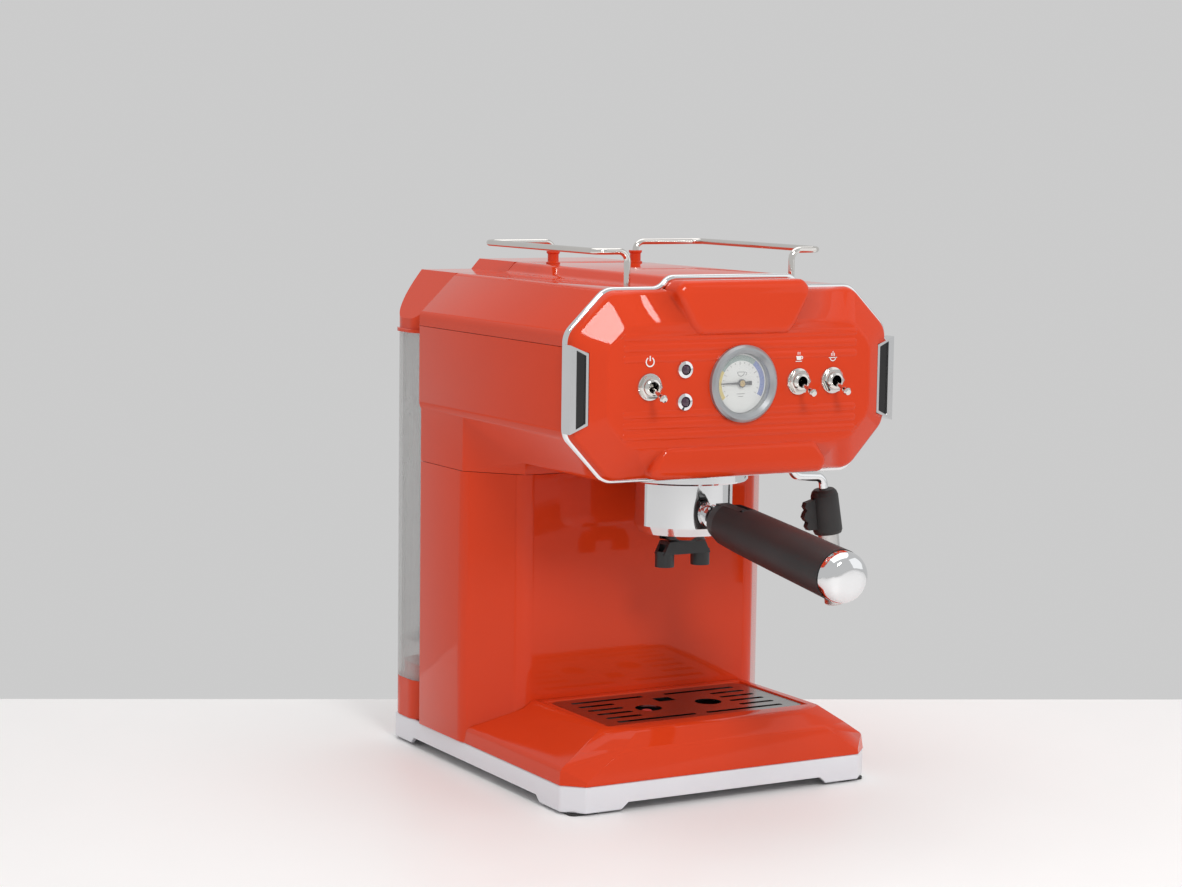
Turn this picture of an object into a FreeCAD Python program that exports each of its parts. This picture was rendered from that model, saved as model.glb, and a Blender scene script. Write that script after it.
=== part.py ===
"""Espresso machine with a lever-switch front, a rear water tank, a drip tray
and a locking filter holder.  Millimetres.  +X is the machine's right as a
person stands in front of it, +Y is the back, +Z is up.  The origin is the
middle of the base's footprint, on the surface that the feet stand on."""
import FreeCAD, Part
import math
import os
import re
import Sketcher
from FreeCAD import Placement, Rotation, Vector

doc = FreeCAD.newDocument("espresso_machine")
sheet = doc.addObject("Spreadsheet::Sheet", "sizes")

SIZES = [
    # base
    ("base_wide", 221.0, "width of the base"),
    ("base_deep", 252.0, "depth of the base, front edge to back edge"),
    ("base_top", 18.0, "height of the base's upper edge"),
    ("base_cut", 12.0, "corner cut of the base in plan"),
    ("frame_wall", 3.0, "wall of the base frame"),
    ("pad_thick", 1.5, "thickness of a rubber foot pad"),
    ("pad_wide", 22.0, "side of a rubber foot pad"),
    ("foot_long", 34.0, "length of a corner foot along a side"),
    ("foot_slant", 7.0, "run of a foot's slanted inner end"),
    ("band_low", 6.0, "lower edge of the base between the feet"),
    ("block_wide", 26.0, "side of a corner block inside the base"),
    ("plate_thick", 1.2, "thickness of the bottom plate"),
    # shells
    ("skin", 2.5, "wall of the moulded shells"),
    ("miter", 0.41, "share of a wall that an inner 45 degree corner sits back"),
    ("seam", 0.3, "gap between neighbouring shells"),
    # column
    ("column_proud", 1.5, "how far the column stands out of the base at each side"),
    ("column_wide", "=base_wide + 2*column_proud", "width of the column"),
    ("column_front", -19.5, "place of the column's front face"),
    ("column_cut_wide", 27.0, "column corner cut across the front"),
    ("column_cut_deep", 33.5, "column corner cut along the side"),
    # head
    ("head_proud", 1.5, "how far the head stands out of the column at each side"),
    ("head_wide", "=column_wide + 2*head_proud", "width of the head"),
    ("head_front", -117.8, "place of the head's front rim"),
    ("head_rear", 74.0, "place of the head's and the column's back face"),
    ("neck_height", 192.2, "seam between the column and the head"),
    ("under_height", 199.1, "underside of the head where it hangs over"),
    ("jaw_height", 227.6, "where the head's lower slope meets its side"),
    ("crease_height", 280.2, "seam between the head and its top cover"),
    ("shoulder_height", 287.8, "where the top cover's slope starts"),
    ("roof_height", 313.7, "flat top of the top cover"),
    ("roof_slope", 26.5, "run of the head's slopes at each side"),
    ("roof_wide", "=head_wide - 2*roof_slope", "width of the flat top and of the underside"),
    ("plateau_foot", 100.0, "width of the raised plateau at its foot"),
    ("plateau_wide", 87.6, "width of the raised plateau at its top"),
    ("head_top", 320.5, "height of the raised plateau"),
    # front
    ("trim_deep", 3.0, "depth of the bright rim"),
    ("trim_face", 2.6, "width of the bright rim"),
    ("trim_proud", 0.8, "how far the bright rim stands out of the head"),
    ("panel_bulge", 14.2, "how far the front panel stands out of the rim"),
    ("panel_inset", 25.0, "width of the front panel's rounded border"),
    ("control_height", 256.5, "height of the middle of the controls"),
    # tray housing and what lies in it
    ("housing_top", 48.5, "top of the tray housing"),
    ("housing_front", -119.0, "front edge of the tray housing's top"),
    ("housing_brow", 37.0, "height of the crease on the housing's front"),
    ("housing_side", 27.5, "height of the crease on the housing's sides"),
    ("housing_slope", 32.5, "run of the tray housing's slope at each side"),
    ("housing_roof", "=base_wide - 2*housing_slope", "width of the tray housing's top"),
    ("grid_wide", 144.0, "width of the drip grid"),
    ("grid_deep", 78.0, "depth of the drip grid"),
    ("grid_thick", 1.0, "thickness of the drip grid"),
    ("grid_sunk", 0.8, "how far the grid lies under the housing's top"),
    ("grid_middle", -66.5, "place of the middle of the grid"),
    ("nest_gap", 0.7, "gap round the grid and the tray"),
    ("rim_inset", 7.0, "how far the drip tray's rim ends inside the grid's side"),
    ("rim_ledge", 13.0, "width of the drip tray's rim at each side"),
    ("tray_wide", "=grid_wide - 2*rim_inset", "width of the drip tray's rim"),
    ("tray_body", "=tray_wide - 2*rim_ledge", "width of the drip tray under its rim"),
    ("tray_lip", 2.0, "thickness of the drip tray's rim"),
    ("tray_tall", 36.0, "height of the drip tray"),
    ("tray_wall", 2.0, "wall of the drip tray"),
    ("tray_ledge", 4.0, "width of the drip tray's rim at front and back"),
    # group and filter holder
    ("group_place", -70.0, "place of the group's upright axis"),
    ("ring_low", 191.7, "lower face of the group ring"),
    ("lip_tall", 4.0, "height of the ring's locking lip"),
    ("ear_tall", 3.4, "height of an ear"),
    ("bowl_wide", 61.0, "outer diameter of the filter holder's bowl"),
    ("lip_gap", 1.7, "gap between the bowl and the ring's locking lip"),
    ("lip_wide", "=bowl_wide + 2*lip_gap", "bore of the ring's locking lip"),
    ("ear_long", 5.3, "how far an ear stands out of the bowl"),
    ("ear_wide", "=bowl_wide + 2*ear_long", "diameter over the filter holder's two ears"),
    ("ear_gap", 1.0, "gap between an ear and the ring round it"),
    ("ring_bore", "=ear_wide + 2*ear_gap", "bore of the group ring above its lip"),
    ("ring_wall", 3.2, "wall of the group ring"),
    ("ring_wide", "=ring_bore + 2*ring_wall", "outer diameter of the group ring"),
    ("bowl_tall", 46.0, "height of the filter holder's bowl"),
    ("bowl_wall", 2.6, "wall of the filter holder's bowl"),
    ("flange_gap", 0.5, "how far the basket's flange ends inside the bowl's outside"),
    ("basket_flange", "=bowl_wide - 2*flange_gap", "diameter of the filter basket's flange"),
    ("flange_ledge", 3.35, "width of the filter basket's flange"),
    ("basket_wide", "=basket_flange - 2*flange_ledge", "outer diameter of the filter basket"),
    ("basket_tall", 24.0, "depth of the filter basket"),
    ("basket_sheet", 0.8, "sheet thickness of the filter basket"),
    ("handle_long", 128.0, "length of the handle's grip"),
    ("handle_wide", 31.0, "largest diameter of the handle"),
    ("handle_drop", 7.0, "angle by which the handle slopes down"),
    # steam wand
    ("wand_side", 80.0, "place of the wand's swivel to the right"),
    ("wand_place", -72.0, "place of the wand's swivel front to back"),
    ("wand_tube", 6.0, "diameter of the wand's tube"),
    ("wand_lean", 8.3, "angle by which the wand leans outward"),
    ("swivel_gap", 0.08, "running clearance of the swivel, on the radius"),
    ("nozzle_wide", 13.5, "diameter of the wand's steel sleeve"),
    ("nozzle_long", 62.0, "length of the wand's steel sleeve"),
    ("grip_wide", 19.0, "diameter of the wand's rubber grip"),
    ("grip_long", 29.0, "length of the wand's rubber grip"),
    # tank
    ("tank_inset", 1.5, "how far the tank is inside the column at each side"),
    ("tank_wide", "=column_wide - 2*tank_inset", "width of the water tank"),
    ("tank_deep", 51.0, "depth of the water tank, front to back"),
    ("tank_low", 44.0, "lower edge of the seated tank"),
    ("tank_tall", 230.0, "height of the tank's clear body"),
    ("tank_wall", 2.4, "wall of the tank"),
    ("tank_round", 20.0, "corner radius of the tank in plan"),
    ("tank_floor", 28.0, "height of the tank's floor over its lower edge"),
    ("tank_gap", 0.8, "gap between the tank and the back of the head"),
    ("plinth_inset", 4.5, "how far the seat's plinth is inside the tank"),
    ("plinth_tall", 10.0, "height of the seat's plinth"),
    ("cord_side", -78.0, "place of the cord gland across the back"),
    ("cord_height", 30.0, "height of the cord gland"),
    ("seat_hose", 29.0, "height at which the hose passes from the seat to the column"),
    ("lid_lip", 1.6, "how far the lid's lip stands out of the tank"),
    ("lid_skirt", 6.0, "height of the lid's lip"),
    # rails
    ("rail_wide", 4.0, "diameter of the gallery rails"),
    ("rail_height", 334.5, "height of the rails' middle line"),
    ("rail_side", 80.0, "distance of a rail from the middle"),
    ("rail_post", 59.0, "distance of a front post from the middle"),
    ("rail_rear_post", 31.0, "distance of a rear post from the middle"),
    ("rail_front", -97.0, "place of the front posts"),
    ("rail_rear", 46.0, "place of the rear posts"),
    ("collar_wide", 9.2, "diameter of a rear post's collar at its foot"),
    ("collar_seat", 0.8, "depth of the recess that a collar sits in"),
    ("collar_gap", 0.2, "gap between a collar and the wall of its recess"),
]

for row, (alias, value, note) in enumerate(SIZES, start=1):
    sheet.set(f"A{row}", note)
    sheet.set(f"B{row}", str(value))
    sheet.setAlias(f"B{row}", alias)
doc.recompute()

ALIASES = {alias for alias, _, _ in SIZES}
VIEWS = {"top": "XY_Plane", "front": "XZ_Plane", "side": "YZ_Plane"}
PIECES = []
SCREWS = []


# ---------------------------------------------------------------- helpers

def bound(text):
    """An expression in which each size's name points to its cell."""
    def cell(match):
        word = match.group(0)
        return f"sizes.{word}" if word in ALIASES else word
    return re.sub(r"[a-z_]+", cell, str(text))


def number(text):
    """The value that an expression has now."""
    return float(sheet.evalExpression(bound(text)))


def piece(name):
    """A new body; its Label is the name of its file."""
    made = doc.addObject("PartDesign::Body", name)
    made.Label = name
    PIECES.append(made)
    return made


def helper_body(name):
    """A body that is only an ingredient of a piece."""
    return doc.addObject("PartDesign::Body", name)


def place(made, x=0, y=0, z=0, turn=None):
    """Stand a body at a place tied to the sizes, turned as given."""
    made.Placement = Placement(Vector(0, 0, 0), turn or Rotation())
    for axis, text in (("x", x), ("y", y), ("z", z)):
        made.setExpression(f"Placement.Base.{axis}", bound(text))


def mirrored(points):
    """The right half of an outline, bottom to top, closed by its mirror image."""
    left = [(f"-({x})", y) for x, y in reversed(points)]
    return list(points) + left


def rounded(left, right, low, high, radius):
    """A rectangle with round corners, for a sketch."""
    return {"left": left, "right": right, "low": low, "high": high, "radius": radius}


def rectangle(left, right, low, high):
    return [(left, low), (right, low), (right, high), (left, high)]


def sketch(body, view, at, outlines):
    """A sketch on one of the body's own planes; every corner is tied to the sizes.
    An outline is a list of (x, y) expressions, or a circle as (x, y, diameter)."""
    drawn = body.newObject("Sketcher::SketchObject", f"{body.Name}_sketch")
    role = VIEWS[view]
    flat = next(one for one in body.Origin.OriginFeatures if one.Role == role)
    drawn.AttachmentSupport = [(flat, "")]
    drawn.MapMode = "FlatFace"
    offset = f"-({at})" if view == "front" else at
    drawn.setExpression("AttachmentOffset.Base.z", bound(offset))
    for outline in outlines:
        if isinstance(outline, dict):
            add_rounded(drawn, **outline)
        elif isinstance(outline, tuple):
            add_circle(drawn, *outline)
        else:
            add_polygon(drawn, outline)
    return drawn


def add_polygon(drawn, points):
    first = drawn.GeometryCount
    count = len(points)
    spots = [Vector(number(x), number(y), 0) for x, y in points]
    lines = [Part.LineSegment(spots[i], spots[(i + 1) % count]) for i in range(count)]
    drawn.addGeometry(lines, False)
    rules = [Sketcher.Constraint("Coincident", first + i, 2, first + (i + 1) % count, 1)
             for i in range(count)]
    ties = []
    start = drawn.ConstraintCount
    for i, (x, y) in enumerate(points):
        for kind, text, now in (("DistanceX", x, spots[i].x), ("DistanceY", y, spots[i].y)):
            ties.append((start + len(rules), text))
            rules.append(Sketcher.Constraint(kind, -1, 1, first + i, 1, now))
    drawn.addConstraint(rules)
    for index, text in ties:
        drawn.setExpression(f"Constraints[{index}]", bound(text))


def add_circle(drawn, x, y, diameter):
    ring = drawn.GeometryCount
    middle = Vector(number(x), number(y), 0)
    drawn.addGeometry(Part.Circle(middle, Vector(0, 0, 1), number(diameter) / 2), False)
    start = drawn.ConstraintCount
    drawn.addConstraint([
        Sketcher.Constraint("DistanceX", -1, 1, ring, 3, middle.x),
        Sketcher.Constraint("DistanceY", -1, 1, ring, 3, middle.y),
        Sketcher.Constraint("Diameter", ring, number(diameter)),
    ])
    for step, text in enumerate((x, y, diameter)):
        drawn.setExpression(f"Constraints[{start + step}]", bound(text))


def add_rounded(drawn, left, right, low, high, radius):
    """A rectangle with round corners."""
    first = drawn.GeometryCount
    corners = [(right, low, -1, 1), (right, high, -1, -1), (left, high, 1, -1),
               (left, low, 1, 1)]
    ends = []
    for step, (x, y, across, up) in enumerate(corners):
        level = (f"{x} + {across}*({radius})", y)
        upright = (x, f"{y} + {up}*({radius})")
        ends += [level, upright] if step % 2 == 0 else [upright, level]
    spots = [Vector(number(x), number(y), 0) for x, y in ends]
    bend = number(radius)
    for step, (x, y, across, up) in enumerate(corners):
        start, finish = spots[2 * step], spots[2 * step + 1]
        middle = Vector(number(x) + across * bend, number(y) + up * bend, 0)
        halfway = middle - Vector(across, up, 0).normalize() * bend
        drawn.addGeometry(Part.Arc(start, halfway, finish), False)
        drawn.addGeometry(Part.LineSegment(finish, spots[(2 * step + 2) % 8]), False)
    rules = []
    for step in range(4):
        arc, line = first + 2 * step, first + 2 * step + 1
        following = first + (2 * step + 2) % 8
        rules.append(Sketcher.Constraint("Coincident", arc, 2, line, 1))
        rules.append(Sketcher.Constraint("Coincident", line, 2, following, 1))
    ties = []
    start_rule = drawn.ConstraintCount
    for step in range(4):
        arc = first + 2 * step
        for end in (1, 2):
            x, y = ends[2 * step + end - 1]
            spot = spots[2 * step + end - 1]
            for kind, text, now in (("DistanceX", x, spot.x), ("DistanceY", y, spot.y)):
                ties.append((start_rule + len(rules), text))
                rules.append(Sketcher.Constraint(kind, -1, 1, arc, end, now))
        ties.append((start_rule + len(rules), radius))
        rules.append(Sketcher.Constraint("Radius", arc, bend))
    drawn.addConstraint(rules)
    for index, text in ties:
        drawn.setExpression(f"Constraints[{index}]", bound(text))


def pad(body, view, at, outlines, length, flip=False):
    """Add material: up from a top view, forward from a front view, to the right
    from a side view; flip turns it round."""
    made = body.newObject("PartDesign::Pad", f"{body.Name}_pad")
    made.Profile = sketch(body, view, at, outlines)
    made.setExpression("Length", bound(length))
    made.Reversed = flip
    doc.recompute()
    return made


def pocket(body, view, at, outlines, depth, flip=False):
    """Remove material the other way: down, backward or to the left; flip turns
    it round.  A pocket that removes nothing is an error."""
    before = body.Shape.Volume
    made = body.newObject("PartDesign::Pocket", f"{body.Name}_pocket")
    made.Profile = sketch(body, view, at, outlines)
    made.setExpression("Length", bound(depth))
    made.Reversed = flip
    doc.recompute()
    if body.Shape.Volume > before - 0.01:
        raise RuntimeError(f"a pocket of {body.Label} removes nothing")
    return made


def edges_where(shape, test):
    return [f"Edge{i}" for i, edge in enumerate(shape.Edges, start=1) if test(edge)]


def soften(body, test, radius, kind="Fillet"):
    """Round or cut the edges that pass the test."""
    names = edges_where(body.Shape, test)
    if not names:
        raise RuntimeError(f"{body.Label} has no edge to soften")
    base = body.Tip
    made = body.newObject(f"PartDesign::{kind}", f"{body.Name}_{kind.lower()}")
    made.Base = (base, names)
    made.setExpression("Radius" if kind == "Fillet" else "Size", bound(radius))
    body.Tip = made
    doc.recompute()
    return made


def runs_along(edge, axis):
    """Whether a straight edge runs along X, Y or Z."""
    if not isinstance(edge.Curve, Part.Line):
        return False
    return abs(getattr(edge.Curve.Direction, axis)) > 0.999


def lathe(body, profile):
    """Turn an outline of (radius, height) round the body's own Z axis."""
    made = body.newObject("PartDesign::Revolution", f"{body.Name}_turned")
    drawn = sketch(body, "front", 0, [profile])
    made.Profile = drawn
    made.ReferenceAxis = (drawn, ["V_Axis"])
    made.Angle = 360.0
    doc.recompute()
    return made


def tube_profile(outer, inner, low, high):
    """A ring's half section: radii and heights."""
    return [(inner, low), (outer, low), (outer, high), (inner, high)]


def disc_profile(radius, low, high):
    return [("0", low), (radius, low), (radius, high), ("0", high)]


def together(name, members):
    """Several like solids in one node."""
    made = doc.addObject("Part::Compound", name)
    made.Label = name
    made.Links = members
    PIECES.append(made)
    return made


def shaped(name, shape, x=0, y=0, z=0):
    """A piece whose shape is worked out here."""
    made = doc.addObject("Part::Feature", name)
    made.Label = name
    made.Shape = shape
    made.Placement = Placement(Vector(x, y, z), Rotation())
    PIECES.append(made)
    return made


def bent_wire(points, bend):
    """Straight runs joined by tangent arcs, one arc at each inner point."""
    edges = []
    here = points[0]
    for before, corner, after in zip(points, points[1:], points[2:]):
        into = (corner - before).normalize()
        away = (after - corner).normalize()
        half = into.getAngle(away) / 2
        back = bend * math.tan(half)
        start = corner - into * back
        finish = corner + away * back
        inward = (away - into).normalize()
        middle = corner + inward * (bend / math.cos(half) - bend)
        edges.append(Part.LineSegment(here, start).toShape())
        edges.append(Part.Arc(start, middle, finish).toShape())
        here = finish
    edges.append(Part.LineSegment(here, points[-1]).toShape())
    return Part.Wire(edges)


def swept_rod(points, bend, diameter):
    """A round rod along a bent wire."""
    path = bent_wire(points, bend)
    first = (points[1] - points[0]).normalize()
    ring = Part.Wire(Part.makeCircle(diameter / 2, points[0], first))
    return path.makePipeShell([ring], True, False)


FORWARD = Rotation(Vector(1, 0, 0), 90)      # a lathe's axis points to the front
BACKWARD = Rotation(Vector(1, 0, 0), -90)    # a lathe's axis points to the back


# ---------------------------------------------------------------- outlines

def base_plan(inset):
    """The base's cut-corner rectangle, drawn in by an inset."""
    side = f"(base_wide/2 - ({inset}))"
    end = f"(base_deep/2 - ({inset}))"
    cut = f"(base_cut - 0.59*({inset}))"
    right = [(f"{side} - {cut}", f"-{end}"), (side, f"-{end} + {cut}"),
             (side, f"{end} - {cut}"), (f"{side} - {cut}", end)]
    return mirrored(right)


def column_plan(inset, rear):
    """The column's plan: corners cut at the front, square at the back."""
    side = f"(column_wide/2 - ({inset}))"
    front = f"(column_front + ({inset}))"
    right = [(f"column_wide/2 - column_cut_wide - miter*({inset})", front),
             (side, f"column_front + column_cut_deep + miter*({inset})"),
             (side, rear)]
    return mirrored(right)


def roof_outline(low, inset):
    """The top cover's section from a given height up."""
    drop = f"miter*({inset})"
    right = [(f"head_wide/2 - ({inset})", low),
             (f"head_wide/2 - ({inset})", f"shoulder_height - {drop}"),
             (f"roof_wide/2 - {drop}", f"roof_height - ({inset})"),
             (f"plateau_foot/2 - {drop}", f"roof_height - ({inset})"),
             (f"plateau_wide/2 - {drop}", f"head_top - ({inset})")]
    return mirrored(right)


def jaw_outline(high, inset):
    """The head's section under the top cover, where it hangs over the tray."""
    rise = f"miter*({inset})"
    right = [(f"roof_wide/2 - {rise}", f"under_height + ({inset})"),
             (f"head_wide/2 - ({inset})", f"jaw_height + {rise}"),
             (f"head_wide/2 - ({inset})", high)]
    return mirrored(right)


def head_outline(inset):
    """The whole outline of the head's front."""
    drop = f"miter*({inset})"
    right = [(f"roof_wide/2 - {drop}", f"under_height + ({inset})"),
             (f"head_wide/2 - ({inset})", f"jaw_height + {drop}"),
             (f"head_wide/2 - ({inset})", f"shoulder_height - {drop}"),
             (f"roof_wide/2 - {drop}", f"roof_height - ({inset})"),
             (f"plateau_foot/2 - {drop}", f"roof_height - ({inset})"),
             (f"plateau_wide/2 - {drop}", f"head_top - ({inset})")]
    return mirrored(right)


# ---------------------------------------------------------------- base

def build_base():
    frame = piece("base_frame")
    pad(frame, "top", "pad_thick", [base_plan("0")], "base_top - pad_thick")
    side = "(base_wide/2 - frame_wall)"
    end = "(base_deep/2 - frame_wall)"
    near_side = "(base_wide/2 - block_wide)"
    near_end = "(base_deep/2 - block_wide)"
    inner = mirrored([(near_side, f"-{end}"), (near_side, f"-{near_end}"),
                      (side, f"-{near_end}"), (side, near_end),
                      (near_side, near_end), (near_side, end)])
    pocket(frame, "top", "base_top", [inner], "base_top")
    foot = "foot_long"
    across = [(f"-base_wide/2 + {foot}", "0"), (f"base_wide/2 - {foot}", "0"),
              (f"base_wide/2 - {foot} - foot_slant", "band_low"),
              (f"-base_wide/2 + {foot} + foot_slant", "band_low")]
    pocket(frame, "front", "-base_deep/2 - 1", [across], "base_deep + 2")
    along = [(f"-base_deep/2 + {foot}", "0"), (f"base_deep/2 - {foot}", "0"),
             (f"base_deep/2 - {foot} - foot_slant", "band_low"),
             (f"-base_deep/2 + {foot} + foot_slant", "band_low")]
    pocket(frame, "side", "base_wide/2 + 1", [along], "base_wide + 2")
    spot = "(pad_wide/2 + frame_wall)"
    holes = [(f"{sx}*(base_wide/2 - {spot})", f"{sy}*(base_deep/2 - {spot})", "5")
             for sx in (-1, 1) for sy in (-1, 1)]
    pocket(frame, "top", "pad_thick", holes, "6", flip=True)

    pads = []
    for sx in (-1, 1):
        for sy in (-1, 1):
            foot_pad = helper_body(f"pad_{'l' if sx < 0 else 'r'}{'f' if sy < 0 else 'b'}")
            place(foot_pad, f"{sx}*(base_wide/2 - {spot})", f"{sy}*(base_deep/2 - {spot})")
            half = "pad_wide/2 - 1"
            square = rectangle(f"-({half})", half, f"-({half})", half)
            pad(foot_pad, "top", 0, [square], "pad_thick")
            soften(foot_pad, lambda edge: runs_along(edge, "z"), "4")
            pad(foot_pad, "top", "pad_thick", [("0", "0", "4.9")], "4.5")
            pads.append(foot_pad)
    together("rubber_feet", pads)

    plate = piece("bottom_plate")
    gap = "0.4"
    outline = mirrored([(f"{near_side} - {gap}", f"-{end} + {gap}"),
                       (f"{near_side} - {gap}", f"-{near_end} + {gap}"),
                       (f"{side} - {gap}", f"-{near_end} + {gap}"),
                       (f"{side} - {gap}", f"{near_end} - {gap}"),
                       (f"{near_side} - {gap}", f"{near_end} - {gap}"),
                       (f"{near_side} - {gap}", f"{end} - {gap}")])
    slots = [rectangle(f"{x} - 1.5", f"{x} + 1.5", "40", "70") for x in range(-40, 50, 10)]
    pad(plate, "top", "band_low + 0.4", [outline] + slots, "plate_thick")

    for sx in (-1, 1):
        for place_y in ("-70", "0", "85"):
            screw = helper_body("plate_screw")
            place(screw, f"{sx}*(base_wide/2 - 16)", place_y, "band_low + 0.4")
            lathe(screw, [("0", "-1.8"), ("2.6", "-1.8"), ("3.2", "-1.2"), ("3.2", "0"),
                          ("0", "0")])
            SCREWS.append(screw)


# ---------------------------------------------------------------- tray housing

def build_tray_housing():
    housing = piece("tray_housing")
    crease = "(base_wide/2 - 1.2)"
    right = [("base_wide/2", "base_top"), (crease, "housing_side"),
             ("housing_roof/2", "housing_top")]
    depth = "(column_front + column_cut_deep + base_deep/2)"
    pad(housing, "front", "column_front + column_cut_deep", [mirrored(right)], depth)
    front = "-base_deep/2"
    slope = [(f"{front} - 1", "base_top"), (front, "base_top"),
             (f"{front} + 1.5", "housing_brow"), ("housing_front", "housing_top"),
             ("housing_front", "housing_top + 1"), (f"{front} - 1", "housing_top + 1")]
    pocket(housing, "side", "base_wide/2 + 1", [slope], "base_wide + 2")
    soften(housing, is_housing_corner, "base_cut", kind="Chamfer")
    soften(housing, is_housing_brow, "5")
    wide = "(grid_wide/2 + nest_gap)"
    near = "(grid_middle - grid_deep/2 - nest_gap)"
    far = "(grid_middle + grid_deep/2 + nest_gap)"
    shelf = "(housing_top - grid_sunk - grid_thick)"
    pocket(housing, "top", "housing_top + 1", [rectangle(f"-{wide}", wide, near, far)],
           "grid_sunk + grid_thick + 1")
    wide = "(tray_wide/2 + nest_gap)"
    pocket(housing, "top", "housing_top", [rectangle(f"-{wide}", wide, near, far)],
           "grid_sunk + grid_thick + tray_lip + 0.3")
    # the inside is hollow and open below; the well hangs in it
    well = "(tray_body/2 + nest_gap)"
    well_near = "(grid_middle - grid_deep/2 + tray_ledge - nest_gap)"
    well_far = "(grid_middle + grid_deep/2 - tray_ledge + nest_gap)"
    well_floor = f"({shelf} - tray_tall - 0.6)"
    under_shelf = f"({shelf} - tray_lip - 0.3 - skin)"
    inner = mirrored([("base_wide/2 - skin", "base_top - 1"),
                      ("base_wide/2 - skin - 1.2", "housing_side - skin"),
                      ("housing_roof/2 + 4", under_shelf)])
    pocket(housing, "front", "housing_front + base_cut", [inner],
           "column_front + column_cut_deep - housing_front")
    outside = rectangle(f"-{well} - 2", f"{well} + 2", f"{well_near} - 2", f"{well_far} + 2")
    pad(housing, "top", f"{well_floor} - 1.6", [outside],
        f"{under_shelf} - {well_floor} + 1.7")
    pocket(housing, "top", "housing_top",
           [rectangle(f"-{well}", well, well_near, well_far)], f"housing_top - {well_floor}")
    pocket(housing, "top", "housing_top + 1", [column_plan("-seam", "head_rear")],
           "housing_top - base_top + 1")


def is_housing_corner(edge):
    """The edges where the housing's front faces meet its side faces."""
    box = edge.BoundBox
    if runs_along(edge, "x") or runs_along(edge, "y"):
        return False
    return box.YMax < number("housing_front") + 1


def is_housing_brow(edge):
    """The crease and the top edges of the housing's front and sides."""
    box = edge.BoundBox
    level = abs(box.ZMax - box.ZMin) < 0.01
    if not level or box.ZMin < number("base_top") + 1:
        return False
    return box.YMin < number("column_front")


# ---------------------------------------------------------------- column and head

PANEL_SCREWS = ("70", "150", "262")     # heights of the rear panel's screws


def build_column():
    column = piece("column_shell")
    pad(column, "top", "base_top", [column_plan("0", "head_rear")],
        "neck_height - seam - base_top")
    soften(column, lambda edge: runs_along(edge, "z") and edge.BoundBox.YMax < 60, "14")
    pocket(column, "top", "neck_height", [column_plan("skin", "head_rear + 1")],
           "neck_height")


def build_head():
    head = piece("head_shell")
    pad(head, "front", "head_rear", [jaw_outline("crease_height - seam", "0")],
        "head_rear - head_front")
    soften(head, lambda edge: runs_along(edge, "y")
           and edge.BoundBox.ZMax < number("jaw_height") + 1, "9")
    pad(head, "top", "neck_height", [column_plan("0", "head_rear")],
        "crease_height - seam - neck_height")
    pocket(head, "front", "head_front - 1", [jaw_outline("crease_height + 1", "skin")],
           "head_rear - head_front + 2")
    pocket(head, "top", "crease_height", [column_plan("skin", "head_rear + 1")],
           "crease_height - neck_height + 1")
    pocket(head, "top", "under_height + skin + 1",
           [("0", "group_place", "ring_wide + 2*seam")], "skin + 3")
    pocket(head, "top", "under_height + skin + 1",
           [("wand_side", "wand_place", "12.4")], "skin + 3")

    cover = piece("top_cover")
    pad(cover, "front", "head_rear", [roof_outline("crease_height", "0")],
        "head_rear - head_front")
    soften(cover, is_roof_edge, "6")
    pocket(cover, "front", "head_front - 1", [roof_outline("crease_height - 1", "skin")],
           "head_rear - head_front + 2")
    front_holes = [(f"{s}*rail_post", "rail_front", "rail_wide + 0.2") for s in (-1, 1)]
    rear_holes = [(f"{s}*rail_rear_post", "rail_rear", "rail_wide + 0.2") for s in (-1, 1)]
    pocket(cover, "top", "head_top + 1", front_holes + rear_holes, "30")
    seats = [(f"{s}*rail_rear_post", "rail_rear", "collar_wide + 2*collar_gap") for s in (-1, 1)]
    pocket(cover, "top", "head_top + 1", seats, "1 + collar_seat")

    rear = piece("rear_panel")
    gap = "(skin + seam)"
    right = [(f"column_wide/2 - {gap}", "base_top + 1"),
             (f"column_wide/2 - {gap}", "crease_height"),
             (f"column_wide/2 - {gap}", f"shoulder_height - miter*{gap}"),
             (f"roof_wide/2 - miter*{gap}", f"roof_height - {gap}"),
             (f"plateau_foot/2 - miter*{gap}", f"roof_height - {gap}"),
             (f"plateau_wide/2 - miter*{gap}", f"head_top - {gap}")]
    vents = [rectangle(x, f"{x} + 3", "214", "250") for x in range(-60, 60, 9)]
    hose = ("0", "seat_hose", "12.4")
    holes = [(f"{sx}*(column_wide/2 - 12)", height, "2.9")
             for sx in (-1, 1) for height in PANEL_SCREWS]
    pad(rear, "front", "head_rear - 0.5", [mirrored(right), hose] + vents + holes, "2.2")

    for sx in (-1, 1):
        for height in PANEL_SCREWS:
            screw = helper_body("panel_screw")
            place(screw, f"{sx}*(column_wide/2 - 12)", "head_rear - 0.5", height, BACKWARD)
            lathe(screw, [("0", "-6"), ("1.4", "-6"), ("1.4", "0"), ("2.6", "0"),
                          ("2.2", "0.45"), ("0", "0.45")])
            SCREWS.append(screw)


def is_roof_edge(edge):
    return runs_along(edge, "y") and edge.BoundBox.ZMax > number("crease_height") + 2


# ---------------------------------------------------------------- front

def face_of(outline):
    """A closed wire of an outline of expressions, in the XZ plane."""
    spots = [Vector(number(x), 0, number(z)) for x, z in outline]
    return Part.makePolygon(spots + [spots[0]])


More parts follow.
